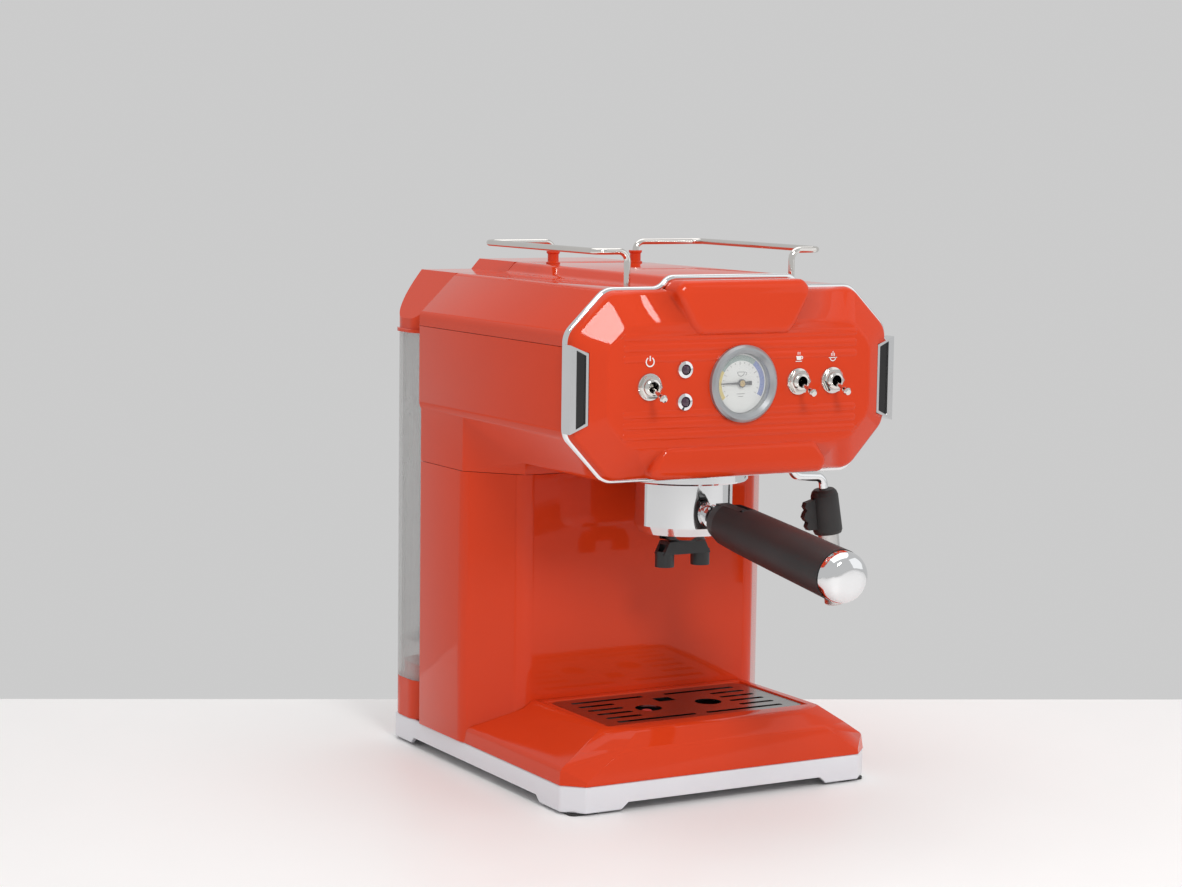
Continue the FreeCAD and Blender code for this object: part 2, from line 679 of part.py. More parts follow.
def round_wire(wire, radius):
    """The same wire with each corner rounded."""
    spots = [vertex.Point for vertex in wire.OrderedVertexes]
    count = len(spots)
    edges = []
    joints = []
    for i in range(count):
        before, here, after = spots[i - 1], spots[i], spots[(i + 1) % count]
        into = (here - before).normalize()
        away = (after - here).normalize()
        half = into.getAngle(away) / 2
        room = 0.45 * min(here.distanceToPoint(before), here.distanceToPoint(after))
        back = min(radius * math.tan(half), room)
        bend = back / math.tan(half)
        start = here - into * back
        finish = here + away * back
        middle = here + (away - into).normalize() * (bend / math.cos(half) - bend)
        joints.append((start, middle, finish))
    for i, (start, middle, finish) in enumerate(joints):
        edges.append(Part.Arc(start, middle, finish).toShape())
        edges.append(Part.LineSegment(finish, joints[(i + 1) % count][0]).toShape())
    return Part.Wire(edges)


def panel_outline(inset):
    """The fascia's octagon without the plateau, drawn in by an inset."""
    drop = f"miter*({inset})"
    right = [(f"roof_wide/2 - {drop}", f"under_height + ({inset})"),
             (f"head_wide/2 - ({inset})", f"jaw_height + {drop}"),
             (f"head_wide/2 - ({inset})", f"shoulder_height - {drop}"),
             (f"roof_wide/2 - {drop}", f"roof_height - ({inset})")]
    return mirrored(right)


def pillow(inset, short):
    """The fascia's swelling form; short leaves room for the wall behind it."""
    bulge = number("panel_bulge") - short
    border = number("panel_inset")
    rings = []
    steps = 5
    for i in range(steps + 1):
        swing = i / steps * math.pi / 2
        ahead = bulge * math.sin(swing)
        draw_in = inset + border * (1 - math.cos(swing)) * 0.9
        wire = round_wire(face_of(panel_outline(f"{draw_in}")), 14 + i)
        wire.translate(Vector(0, -ahead, 0))
        rings.append(wire)
    return Part.makeLoft(rings, True, True)


def boss(points, depth):
    """A raised trapezoid on the fascia."""
    face = Part.Face(round_wire(face_of(points), 5))
    return face.extrude(Vector(0, -depth, 0))


def build_front():
    trim = piece("rim_trim")
    outer = head_outline("-trim_proud")
    inner = head_outline("trim_face - trim_proud")
    pad(trim, "front", "head_front", [outer, inner], "trim_deep")
    soften(trim, lambda edge: runs_along(edge, "y"), "2.2")

    face_back = number("head_front - trim_deep")
    bulge = number("panel_bulge")
    skin = number("skin")
    solid = pillow(1.0, 0.0)
    inside = pillow(1.0 + skin, skin)
    name_boss = boss(mirrored([("33", "crease_height + 6"), ("37", "crease_height + 12"),
                               ("plateau_foot/2 - 1", "roof_height - 0.4"),
                               ("plateau_wide/2 - 1", "head_top - 0.8")]), bulge + 1.2)
    chin_boss = boss(mirrored([("68", "under_height + 1.5"), ("54", "under_height + 21")]),
                     bulge + 0.6)
    shell = solid.fuse([name_boss, chin_boss]).cut(inside)
    holes = []
    height = number("control_height")
    for x, diameter in control_spots():
        holes.append(Part.makeCylinder(diameter / 2, bulge + 12,
                                       Vector(x, 1, height), Vector(0, -1, 0)))
    for rise in (-LAMP_RISE, LAMP_RISE):
        holes.append(Part.makeCylinder(LAMP_HOLE / 2, bulge + 12,
                                       Vector(-LAMP_SIDE, 1, height + rise), Vector(0, -1, 0)))
    for side in (-1, 1):
        spots = side_frame_points(side, "0.1")
        holes.append(Part.Face(face_of(spots)).extrude(Vector(0, -bulge - 12, 0)))
    shell = shell.cut(holes)
    shaped("fascia", shell, 0, face_back, 0)

    frames = [build_side_frame(side) for side in (-1, 1)]
    together("side_frames", [frame for frame, _ in frames])
    together("side_inserts", [insert for _, insert in frames])


TOGGLES = (("power", -65.0), ("coffee", 40.0), ("steam", 65.0))
TOGGLE_HOLE = 11.0
LAMP_SIDE = 41.0
LAMP_RISE = 9.6
LAMP_HOLE = 8.0
GAUGE_HOLE = 40.0


def control_spots():
    """Across-place and hole of the gauge and of each lever switch."""
    return [(0.0, GAUGE_HOLE)] + [(x, TOGGLE_HOLE) for _, x in TOGGLES]


def side_frame_points(side, grow):
    """The outline of the bright frame on one side of the fascia."""
    out = f"{side}*(head_wide/2 + 1.6 + ({grow}))"
    back = f"{side}*(head_wide/2 - 10.5 - ({grow}))"
    low, high = f"jaw_height + 2 - ({grow})", f"shoulder_height - 6 + ({grow})"
    return [(out, low), (out, high), (back, f"{high} - 5"), (back, f"{low} + 5")]


def build_side_frame(side):
    """A bright frame that wraps the fascia's side, with a black insert in it."""
    low, high = "jaw_height + 2", "shoulder_height - 6"
    frame = helper_body("side_frame")
    opening = [(f"{side}*(head_wide/2 - 2.4)", f"{low} + 3"),
               (f"{side}*(head_wide/2 - 2.4)", f"{high} - 3"),
               (f"{side}*(head_wide/2 - 8.9)", f"{high} - 6.2"),
               (f"{side}*(head_wide/2 - 8.9)", f"{low} + 6.2")]
    start = "head_front - trim_deep - 0.2"
    pad(frame, "front", start, [side_frame_points(side, "0"), opening], "8.5")
    insert = helper_body("side_insert")
    pad(insert, "front", start, [opening], "7.2")
    return frame, insert


def build_controls():
    face = "head_front - trim_deep - panel_bulge"
    case = piece("gauge_case")
    place(case, 0, face, "control_height", FORWARD)
    lathe(case, [("0", "-20"), ("19.6", "-20"), ("19.6", "0.1"), ("23.3", "0.1"),
                 ("23.3", "2.6"), ("21.8", "4.2"), ("20.4", "4.2"), ("18.2", "2.4"),
                 ("18.2", "-2.6"), ("0", "-2.6")])
    dial = piece("gauge_dial")
    place(dial, 0, face, "control_height", FORWARD)
    lathe(dial, [("0", "-2.5"), ("17.8", "-2.5"), ("17.8", "-1.9"), ("0.9", "-1.9"),
                 ("0.9", "0.6"), ("0", "0.6")])
    glass = piece("gauge_glass")
    place(glass, 0, face, "control_height", FORWARD)
    lathe(glass, disc_profile("18.0", "1.2", "2.2"))
    needle = piece("gauge_needle")
    place(needle, 0, face, "control_height", FORWARD)
    pad(needle, "top", "-0.9", [[("-14.5", "-0.25"), ("-14.5", "0.25"), ("-2", "0.7"),
                                 ("7", "1.3"), ("7", "-1.3"), ("-2", "-0.7")]], "0.5")
    pad(needle, "top", "-0.9", [("0", "0", "5")], "0.9")
    pocket(needle, "top", "1", [("0", "0", "1.96")], "3")

    lens_set, ring_set = [], []
    for rise in (-LAMP_RISE, LAMP_RISE):
        ring = helper_body("lamp_ring")
        place(ring, -LAMP_SIDE, face, f"control_height + {rise}", FORWARD)
        lathe(ring, [("3.2", "-8"), ("3.9", "-8"), ("3.9", "0.05"), ("5.4", "0.05"),
                     ("5.0", "1.6"), ("3.2", "2.2")])
        ring_set.append(ring)
        lens = helper_body("lamp_lens")
        place(lens, -LAMP_SIDE, face, f"control_height + {rise}", FORWARD)
        lathe(lens, [("0", "-9"), ("3.15", "-9"), ("3.15", "1.2"), ("2.2", "2.4"),
                     ("0", "2.9")])
        lens_set.append(lens)
    together("lamp_rings", ring_set)
    together("lamp_lenses", lens_set)

    blocks, bushings, nuts = [], [], []
    for word, x in TOGGLES:
        block = helper_body(f"{word}_block")
        place(block, x, face, "control_height", FORWARD)
        square = rectangle("-6.5", "6.5", "-11", "11")
        pad(block, "top", "-26", [square], "20")
        blocks.append(block)
        bushing = helper_body(f"{word}_bushing")
        place(bushing, x, face, "control_height", FORWARD)
        lathe(bushing, [("3.4", "-6"), ("5.4", "-6"), ("5.4", "4.2"), ("4.6", "5.2"),
                        ("3.4", "5.2")])
        bushings.append(bushing)
        nut = helper_body(f"{word}_nut")
        place(nut, x, face, "control_height", FORWARD)
        hexagon = [(f"8.1*cos({60 * i})", f"8.1*sin({60 * i})") for i in range(6)]
        pad(nut, "top", "0.1", [hexagon, ("0", "0", "10.9")], "2.4")
        nuts.append(nut)
        build_lever(word, x, face)
    together("switch_bodies", blocks)
    together("switch_bushings", bushings + nuts)


def build_lever(word, x, face):
    """A lever pivots inside its bushing and leans down when it is off."""
    lean = 20.0
    lever = piece(f"{word}_lever")
    turn = Rotation(Vector(1, 0, 0), 90 + lean)
    place(lever, x, f"{face} - 1.0", "control_height", turn)
    lathe(lever, [("0", "-2.2"), ("1.4", "-2.0"), ("2.2", "-0.8"), ("2.2", "0.8"),
                  ("1.35", "2.4"), ("1.1", "12.5"), ("1.9", "14.2"), ("2.5", "15.6"),
                  ("2.5", "16.6"), ("1.7", "18.0"), ("0", "18.4")])


# ---------------------------------------------------------------- group

def build_group():
    ring = piece("group_ring")
    place(ring, 0, "group_place", 0)
    lathe(ring, [("lip_wide/2", "ring_low"), ("ring_wide/2 - 1", "ring_low"),
                 ("ring_wide/2", "ring_low + 1"), ("ring_wide/2", "ring_low + 18"),
                 ("ring_bore/2", "ring_low + 18"), ("ring_bore/2", "ring_low + lip_tall"),
                 ("lip_wide/2", "ring_low + lip_tall")])
    notch = []
    for turn in (-ENTRY_TURN, 180 - ENTRY_TURN):
        notch.append([(f"ring_bore/2*cos({turn + step})", f"ring_bore/2*sin({turn + step})")
                      for step in (-EAR_HALF - 5, -EAR_HALF / 2, 0, EAR_HALF / 2, EAR_HALF + 5)]
                     + [(f"26*cos({turn + step})", f"26*sin({turn + step})")
                        for step in (EAR_HALF + 5, -EAR_HALF - 5)])
    pocket(ring, "top", "ring_low + lip_tall + 0.1", notch, "lip_tall + 1")

    top = piece("group_head")
    place(top, 0, "group_place", 0)
    lathe(top, [("3.2", "ring_low + 13.2"), ("22.0", "ring_low + 13.2"),
                ("22.0", "ring_low + 11.6"), ("23.5", "ring_low + 11.6"),
                ("23.5", "ring_low + 14.6"), ("ring_bore/2 - 0.1", "ring_low + 14.6"),
                ("ring_bore/2 - 0.1", "ring_low + 18.1"), ("ring_wide/2", "ring_low + 18.1"),
                ("ring_wide/2", "ring_low + 24"), ("3.2", "ring_low + 24")])
    seal = piece("group_seal")
    place(seal, 0, "group_place", 0)
    lathe(seal, tube_profile("31", "23.6", "ring_low + 11.3", "ring_low + 14.5"))
    screen = piece("shower_screen")
    place(screen, 0, "group_place", 0)
    lathe(screen, [("2.2", "ring_low + 9.4"), ("21.4", "ring_low + 9.4"),
                   ("23.0", "ring_low + 10.2"), ("23.0", "ring_low + 11.5"),
                   ("21.6", "ring_low + 11.5"), ("21.6", "ring_low + 10.6"),
                   ("2.2", "ring_low + 10.6")])
    drops = [(f"{radius}*cos({k * 360 / many})", f"{radius}*sin({k * 360 / many})", "1.2")
             for radius, many in ((7, 8), (12.5, 12), (18, 16)) for k in range(many)]
    pocket(screen, "top", "ring_low + 12", drops, "4")
    screw = helper_body("shower_screw")
    place(screw, 0, "group_place", 0)
    lathe(screw, [("0", "ring_low + 8.2"), ("3.6", "ring_low + 8.2"), ("4.2", "ring_low + 9.3"),
                  ("2.1", "ring_low + 9.3"), ("2.1", "ring_low + 12.9"),
                  ("3.1", "ring_low + 13.3"), ("3.1", "ring_low + 22"), ("0", "ring_low + 22")])
    SCREWS.append(screw)

    boiler = piece("boiler")
    place(boiler, 0, "group_place", 0)
    lathe(boiler, [("0", "ring_low + 24.2"), ("38", "ring_low + 24.2"), ("38", "ring_low + 32"),
                   ("34", "ring_low + 33"), ("34", "ring_low + 62"), ("30", "ring_low + 66"),
                   ("0", "ring_low + 68")])
    thermostats = []
    for x in ("-14", "14"):
        cup = helper_body("thermostat_cup")
        place(cup, x, "group_place", 0)
        lathe(cup, [("0", "ring_low + 68.1"), ("8", "ring_low + 68.1"), ("8", "ring_low + 74"),
                    ("2", "ring_low + 75"), ("0", "ring_low + 75")])
        thermostats.append(cup)
    together("thermostats", thermostats)


EAR_HALF = 15.0       # half the angle that an ear covers
ENTRY_TURN = 50.0     # how far the handle turns from its entry to locked


# ---------------------------------------------------------------- filter holder

def build_filter_holder():
    top = "ring_low + lip_tall + 0.3 + ear_tall + 2.4"
    low = f"{top} - bowl_tall"
    bowl = helper_body("bowl")
    place(bowl, 0, "group_place", 0)
    lathe(bowl, [("0", low), ("bowl_wide/2 - 9", low), ("bowl_wide/2 - 2.5", f"{low} + 3"),
                 ("bowl_wide/2", f"{low} + 8"), ("bowl_wide/2", top),
                 ("bowl_wide/2 - bowl_wall", top), ("bowl_wide/2 - bowl_wall", f"{low} + 9"),
                 ("bowl_wide/2 - 9", f"{low} + 4"), ("0", f"{low} + 3.4")])
    ears = []
    for turn in (0, 180):
        steps = (-EAR_HALF, -EAR_HALF / 2, 0, EAR_HALF / 2, EAR_HALF)
        ears.append([(f"ear_wide/2*cos({turn + step})", f"ear_wide/2*sin({turn + step})")
                     for step in steps]
                    + [(f"(bowl_wide/2 - 1)*cos({turn + step})",
                        f"(bowl_wide/2 - 1)*sin({turn + step})") for step in reversed(steps)])
    for ear in ears:
        pad(bowl, "top", "ring_low + lip_tall + 0.3", [ear], "ear_tall")
    pocket(bowl, "top", f"{low} + 5", [("0", "0", "9")], "8")

    basket = piece("filter_basket")
    place(basket, 0, "group_place", 0)
    sheet_thick = "basket_sheet"
    base = f"{top} - basket_tall"
    lathe(basket, [("0", base), ("basket_wide/2 - 3", base), ("basket_wide/2", f"{base} + 3"),
                   ("basket_wide/2", f"{top} + 0.05"), ("basket_flange/2", f"{top} + 0.05"),
                   ("basket_flange/2", f"{top} + 0.05 + {sheet_thick}"),
                   (f"basket_wide/2 - {sheet_thick}", f"{top} + 0.05 + {sheet_thick}"),
                   (f"basket_wide/2 - {sheet_thick}", f"{base} + 3.3"),
                   (f"basket_wide/2 - 3.3", f"{base} + {sheet_thick}"),
                   ("0", f"{base} + {sheet_thick}")])

    spout = piece("spout")
    place(spout, 0, "group_place", 0)
    lathe(spout, [("4.6", f"{low} - 3"), ("9", f"{low} - 3"), ("9", low), ("4.6", low)])
    arms = [("-17", f"{low} - 11"), ("17", f"{low} - 11"), ("13", f"{low} - 3"),
            ("-13", f"{low} - 3")]
    pad(spout, "front", "6", [arms], "12")
    for x in ("-13", "13"):
        pad(spout, "top", f"{low} - 19", [(x, "0", "12")], "10")
        pocket(spout, "top", f"{low} - 5", [(x, "0", "8")], "16")
    pocket(spout, "top", f"{low} + 1", [("0", "0", "8")], "6")

    drop = number("handle_drop")
    turn = Rotation(Vector(1, 0, 0), 90 + drop)
    grip_height = f"{low} + 0.45*bowl_tall"
    ferrule = helper_body("ferrule")
    place(ferrule, 0, "group_place", grip_height, turn)
    root = "(bowl_wide/2 - 0.6)"
    lathe(ferrule, [("0", root), ("6.2", root), ("6.2", f"{root} + 4"), ("7.4", f"{root} + 5"),
                    ("7.4", f"{root} + 8"), ("5.4", f"{root} + 9"), ("5.4", f"{root} + 13"),
                    ("4", f"{root} + 13.1"), ("4", f"{root} + 40"), ("0", f"{root} + 40")])
    joined = doc.addObject("Part::MultiFuse", "filter_bowl")
    joined.Label = "filter_bowl"
    joined.Shapes = [bowl, ferrule]
    PIECES.append(joined)
    start = f"({root} + 13.2)"
    handle = piece("handle")
    place(handle, 0, "group_place", grip_height, turn)
    end = f"({start} + handle_long)"
    lathe(handle, [("4.1", start), ("8.5", start), ("11.5", f"{start} + 3"),
                   ("13.6", f"{start} + 12"), ("14.3", f"{start} + 30"),
                   ("14.9", f"{start} + 70"), ("handle_wide/2 - 0.2", f"{end} - 14"),
                   ("handle_wide/2", end), ("0", end), ("0", f"{start} + 27.2"),
                   ("4.1", f"{start} + 27.2")])
    recess = [("-6.2", f"{start} - 1"), ("6.2", f"{start} - 1"), ("6.2", f"{start} + 32"),
              ("-6.2", f"{start} + 32")]
    # the recess for the basket clip is cut in the handle's upper side
    pocket(handle, "front", "16", [recess], "8", flip=True)
    cap = piece("handle_cap")
    place(cap, 0, "group_place", grip_height, turn)
    lathe(cap, [("0", f"{end} + 0.05"), ("handle_wide/2", f"{end} + 0.05"),
                ("handle_wide/2 + 0.4", f"{end} + 3"), ("handle_wide/2 - 1.2", f"{end} + 7"),
                ("handle_wide/2 - 5", f"{end} + 10.4"), ("6", f"{end} + 12.2"),
                ("0", f"{end} + 12.8")])
    clip = piece("basket_clip")
    place(clip, 0, "group_place", grip_height, turn)
    blade = [("9.0", f"{start} + 1"), ("10.6", f"{start} + 1"), ("11.6", f"{start} + 26"),
             ("13.8", f"{start} + 30"), ("12.6", f"{start} + 31"), ("9.8", f"{start} + 27")]
    pad(clip, "side", "-4.5", [blade], "9")


# ---------------------------------------------------------------- steam wand

def build_wand():
    nut = piece("swivel_nut")
    place(nut, "wand_side", "wand_place", 0)
    bore = "(wand_tube/2 + swivel_gap)"
    lathe(nut, [(bore, "under_height - 4.6"), ("6.6", "under_height - 4.6"),
                ("8.2", "under_height - 3"), ("8.2", "under_height - 0.1"),
                ("6.0", "under_height - 0.1"), ("6.0", "under_height + 10"),
                (bore, "under_height + 10")])
    lean = math.radians(number("wand_lean"))
    side, place_y = number("wand_side"), number("wand_place")
    high = number("under_height")
    corner = Vector(side + 23.5, place_y, high - 11.5)
    down = Vector(math.sin(lean), 0, -math.cos(lean))
    path = [Vector(side, place_y, high + 9.5), Vector(side, place_y, high - 9.8), corner,
            corner + down * (30.2 + number("nozzle_long") - 24)]
    tube = swept_rod(path, 6.0, number("wand_tube"))
    shaped("wand_tube", tube)

    turn = Rotation(Vector(0, 1, 0), 180 - number("wand_lean"))
    spot = ("wand_side + 23.5", "wand_place", "under_height - 11.5")
    grip = piece("wand_grip")
    place(grip, *spot, turn)
    lathe(grip, [("wand_tube/2", "8"), ("6.5", "8"), ("8", "9.5"), ("grip_wide/2 - 0.6", "12"),
                 ("grip_wide/2", "8 + grip_long - 2"), ("grip_wide/2 - 0.8", "8 + grip_long"),
                 ("nozzle_wide/2", "8 + grip_long"), ("nozzle_wide/2", "30.1"),
                 ("wand_tube/2", "30.1")])
    pad(grip, "front", "2.2", [thumb_tab()], "4.4")
    nozzle = piece("wand_nozzle")
    place(nozzle, *spot, turn)
    far = "(30.2 + nozzle_long - 8)"
    lathe(nozzle, [("wand_tube/2 + 0.4", "30.3"), ("nozzle_wide/2", "30.3"),
                   ("nozzle_wide/2", f"{far} - 1"), ("nozzle_wide/2 - 1", far),
                   ("nozzle_wide/2 - 1.4", far), ("nozzle_wide/2 - 1.4", "31.5"),
                   ("wand_tube/2 + 0.4", "31.5")])


def thumb_tab():
    """The thumb tab's outline: three shallow lobes beside the grip."""
    points = [("8", "13")]
    for middle, rise in ((0, 16.5), (1, 23.0), (2, 29.5)):
        reach = 18.5 if middle == 1 else 17.0
        points += [(f"{reach - 1.4}", f"{rise - 2.6}"), (f"{reach}", f"{rise}"),
                   (f"{reach - 1.4}", f"{rise + 2.6}")]
    return points + [("8", "33")]


# ---------------------------------------------------------------- tank and its seat

def tank_plan(inset, near, far):
    """The tank's plan with its round corners, drawn in by an inset."""
    side = f"(tank_wide/2 - ({inset}))"
    return rounded(f"-{side}", side, f"{near} + ({inset})", f"{far} - ({inset})",
                   f"tank_round - ({inset})")


def upright_corner(edge):
    return runs_along(edge, "z") and edge.Length > 3


def build_tank():
    near = "(head_rear + tank_gap)"
    far = "(head_rear + tank_gap + tank_deep)"
    middle = f"({near} + tank_deep/2)"
    seat = piece("tank_seat")
    pad(seat, "top", "base_top", [tank_plan("0", near, far)], "tank_low - base_top - 0.2")
    pad(seat, "top", "tank_low - 0.2", [tank_plan("plinth_inset", near, far)], "plinth_tall")
    pocket(seat, "top", "base_top", [tank_plan("skin + plinth_inset", near, far)],
           "tank_low - base_top + plinth_tall - 0.2 - skin", flip=True)
    pocket(seat, "top", "tank_low + plinth_tall + 1", [("0", middle, "22")], "skin + 3")
    pocket(seat, "front", f"{near} - 1", [("0", "seat_hose", "12.4")], "skin + plinth_inset + 2")
    pocket(seat, "front", f"{far} - skin - plinth_inset - 1",
           [("cord_side", "cord_height", "12")], "skin + plinth_inset + 3")

    coupling = piece("tank_coupling")
    place(coupling, 0, middle, "tank_low + plinth_tall - 0.2")
    lathe(coupling, [("0", "-14"), ("5", "-14"), ("5", "-10"), ("10.9", "-10"),
                     ("10.9", "0.6"), ("8.3", "0.6"), ("8.3", "-7"), ("0.9", "-7"),
                     ("0.9", "1.6"), ("0", "1.6")])

    tank = piece("water_tank")
    pad(tank, "top", "tank_low", [tank_plan("0", near, far)], "tank_tall")
    inner = tank_plan("tank_wall", near, far)
    pocket(tank, "top", "tank_low + tank_tall", [inner], "tank_tall - tank_floor")
    pocket(tank, "top", "tank_low", [inner], "tank_floor - tank_wall", flip=True)
    pocket(tank, "top", "tank_low + tank_floor + 1", [("0", middle, "11")], "tank_wall + 2")

    outlet = piece("tank_outlet")
    place(outlet, 0, middle, "tank_low + tank_floor")
    lathe(outlet, [("3.2", "-24.4"), ("5.4", "-24.4"), ("5.4", "0.1"), ("9", "0.1"),
                   ("9", "1.6"), ("3.2", "1.6")])
    plunger = piece("valve_plunger")
    place(plunger, 0, middle, "tank_low + tank_floor")
    lathe(plunger, [("0", "-15.9"), ("1.2", "-15.9"), ("1.2", "1.65"), ("6.6", "1.65"),
                    ("6.2", "4.4"), ("4.2", "6.4"), ("0", "7.2")])

    catch = piece("lid_catch")
    top = "(tank_low + tank_tall)"
    pad(catch, "front", f"{far} + 1.9", [rectangle("-12.5", "12.5", f"{top} - 19", f"{top} - 7")],
        "1.8")
    pad(catch, "front", f"{far} + 2.9", [rectangle("-12.5", "12.5", f"{top} - 19", f"{top} - 17")],
        "1.2")


def build_lid():
    near = "(head_rear + tank_gap)"
    far = "(head_rear + tank_gap + tank_deep)"
    low = "(tank_low + tank_tall + 0.2)"
    lid = piece("tank_lid")
    right = [("tank_wide/2 + lid_lip", low), ("tank_wide/2 + lid_lip", f"{low} + 1.6"),
             ("tank_wide/2", f"{low} + 3"), ("tank_wide/2", f"{low} + lid_skirt + 3"),
             ("roof_wide/2", "roof_height"), ("plateau_foot/2", "roof_height"),
             ("plateau_wide/2", "head_top")]
    pad(lid, "front", f"{far} + lid_lip", [mirrored(right)], "tank_deep + lid_lip")
    around = rectangle("-tank_wide", "tank_wide", f"{near} - 60", f"{far} + 60")
    pocket(lid, "top", "head_top + 1", [around, tank_plan("-lid_lip", near, far)],
           f"head_top + 1 - {low}")
    pocket(lid, "top", "head_top + 1", [around, tank_plan("0.0", near, far)],
           f"head_top + 1 - {low} - 2.2")
    inner_right = [("tank_wide/2 - skin", f"{low} - 1"),
                   ("tank_wide/2 - skin", f"{low} + lid_skirt"),
                   ("roof_wide/2 - miter*skin", "roof_height - skin")]
    pocket(lid, "front", f"{near} + skin", [mirrored(inner_right)], "tank_deep - 2*skin")

    for sx in (-1, 1):
        inner, outer = f"{sx}*17.0", f"{sx}*22.0"
        pad(lid, "front", f"{far} + 3.6", [[(inner, f"{low} - 6.8"), (outer, f"{low} - 6.8"),
                                            (outer, f"{low} + 2.0"), (inner, f"{low} + 2.0")]],
            "2.6")

    latch = piece("lid_latch")
    pad(latch, "front", f"{far} + 4.4",
        [rectangle("-16.5", "16.5", f"{low} - 6.5", f"{low} + 2.0")], "2.6")


# ---------------------------------------------------------------- drip tray

def build_tray():
    top = "(housing_top - grid_sunk - grid_thick - 0.1)"
    low = f"({top} - tray_tall)"
    near = "(grid_middle - grid_deep/2)"
    far = "(grid_middle + grid_deep/2)"
    tray = piece("drip_tray")
    pad(tray, "top", low, [rectangle("-tray_body/2", "tray_body/2", f"{near} + tray_ledge",
                                     f"{far} - tray_ledge")], f"{top} - {low}")
    soften(tray, upright_corner, "6")
    soften(tray, lambda edge: edge.BoundBox.ZMax < number(low) + 0.1, "3")
    rim = rectangle("-tray_wide/2", "tray_wide/2", near, far)
    pad(tray, "top", f"{top} - tray_lip", [rim], "tray_lip")
    notch_side = [[(f"{sx}*(tray_wide/2 + 1)", "grid_middle - 15"),
                   (f"{sx}*(tray_wide/2 + 1)", "grid_middle + 15"),
                   (f"{sx}*(tray_body/2 + 3)", "grid_middle + 12"),
                   (f"{sx}*(tray_body/2 + 3)", "grid_middle - 12")] for sx in (-1, 1)]
    pocket(tray, "top", f"{top} + 1", notch_side, "tray_lip + 2")
    wall = "tray_wall"
    cavity = rectangle(f"-tray_body/2 + {wall}", f"tray_body/2 - {wall}",
                       f"{near} + tray_ledge + {wall}", f"{far} - tray_ledge - {wall}")
    pocket(tray, "top", top, [cavity], f"tray_tall - {wall}")
    floor = f"({low} + {wall})"
    pad(tray, "top", f"{floor} - 0.5", [("-22", "grid_middle", "12"), ("-22", "grid_middle", "9")],
        "8.5")
    buoy = piece("tray_float")
    place(buoy, "-22", "grid_middle", 0)
    lathe(buoy, [("0", f"{floor} + 0.2"), ("4.1", f"{floor} + 0.2"), ("4.1", f"{floor} + 10"),
                 ("3.4", f"{floor} + 11"), ("3.4", f"{top} - 1.0"), ("2.8", f"{top} - 0.5"),
                 ("0", f"{top} - 0.5")])

    grid = piece("drip_grid")
    level = "(housing_top - grid_sunk - grid_thick)"
    slots = []
    for sx in (-1, 1):
        for row_place, inner, outer in grid_rows():
            slots.append(slot_outline(f"{sx}*({inner})", f"{sx}*({outer})", row_place))
    holes = [("-22", "grid_middle - 2", "17"), ("22", "grid_middle - 2", "17")]
    square = rectangle("-6", "6", "grid_middle + 11", "grid_middle + 21")
    pad(grid, "top", level, [rectangle("-grid_wide/2", "grid_wide/2", near, far), square]
        + slots + holes, "grid_thick")
    soften(grid, lambda edge: runs_along(edge, "z") and is_grid_corner(edge), "9")


def grid_rows():
    """Front-to-back places of the slots, with their inner and outer ends."""
    long_end = "grid_wide/2 - 12"
    rows = [("grid_middle - 29", "4", long_end), ("grid_middle + 29", "8", long_end)]
    for step in range(4):
        rows.append((f"grid_middle + {-17.4 + 11.6 * step}", "36", "grid_wide/2 - 11"))
    return rows


def slot_outline(inner, outer, middle):
    """A long narrow slot with cut ends."""
    flip = "-1" if str(inner).startswith("-") else "1"
    return [(inner, f"{middle} - 1"), (f"{inner} + {flip}*1", f"{middle} - 2"),
            (f"{outer} - {flip}*1", f"{middle} - 2"), (outer, f"{middle} - 1"),
            (outer, f"{middle} + 1"), (f"{outer} - {flip}*1", f"{middle} + 2"),
            (f"{inner} + {flip}*1", f"{middle} + 2"), (inner, f"{middle} + 1")]


def is_grid_corner(edge):
    box = edge.BoundBox
    return abs(abs(box.XMin) - number("grid_wide/2")) < 0.01


# ---------------------------------------------------------------- rails

def build_rails():
    width = number("rail_wide")
    high = number("rail_height")
    side, post = number("rail_side"), number("rail_post")
    rear_post = number("rail_rear_post")
    front, rear = number("rail_front"), number("rail_rear")
    roof, plateau = number("roof_height"), number("head_top")
    skin = number("skin")
    collars, rails = [], []
    for sx, word in ((-1, "left"), (1, "right")):
        points = [Vector(sx * post, front, roof - skin - 4), Vector(sx * post, front, high),
                  Vector(sx * side, front, high), Vector(sx * side, rear, high),
                  Vector(sx * rear_post, rear, high),
                  Vector(sx * rear_post, rear, plateau - skin - 4)]
        rails.append(swept_rod(points, 6.0, width))
        collar = helper_body(f"collar_{word}")
        place(collar, f"{sx}*rail_rear_post", "rail_rear", "head_top - collar_seat + 0.05")
        lathe(collar, [("rail_wide/2 + 0.05", "0"), ("collar_wide/2", "0"), ("collar_wide/2", "1.6"),
                       ("3.6", "2.2"), ("3.6", "7"), ("4.4", "7.6"), ("4.4", "9"),
                       ("rail_wide/2 + 0.05", "9")])
        collars.append(collar)
    shaped("gallery_rails", Part.makeCompound(rails))
    together("rail_collars", collars)


# ---------------------------------------------------------------- inside

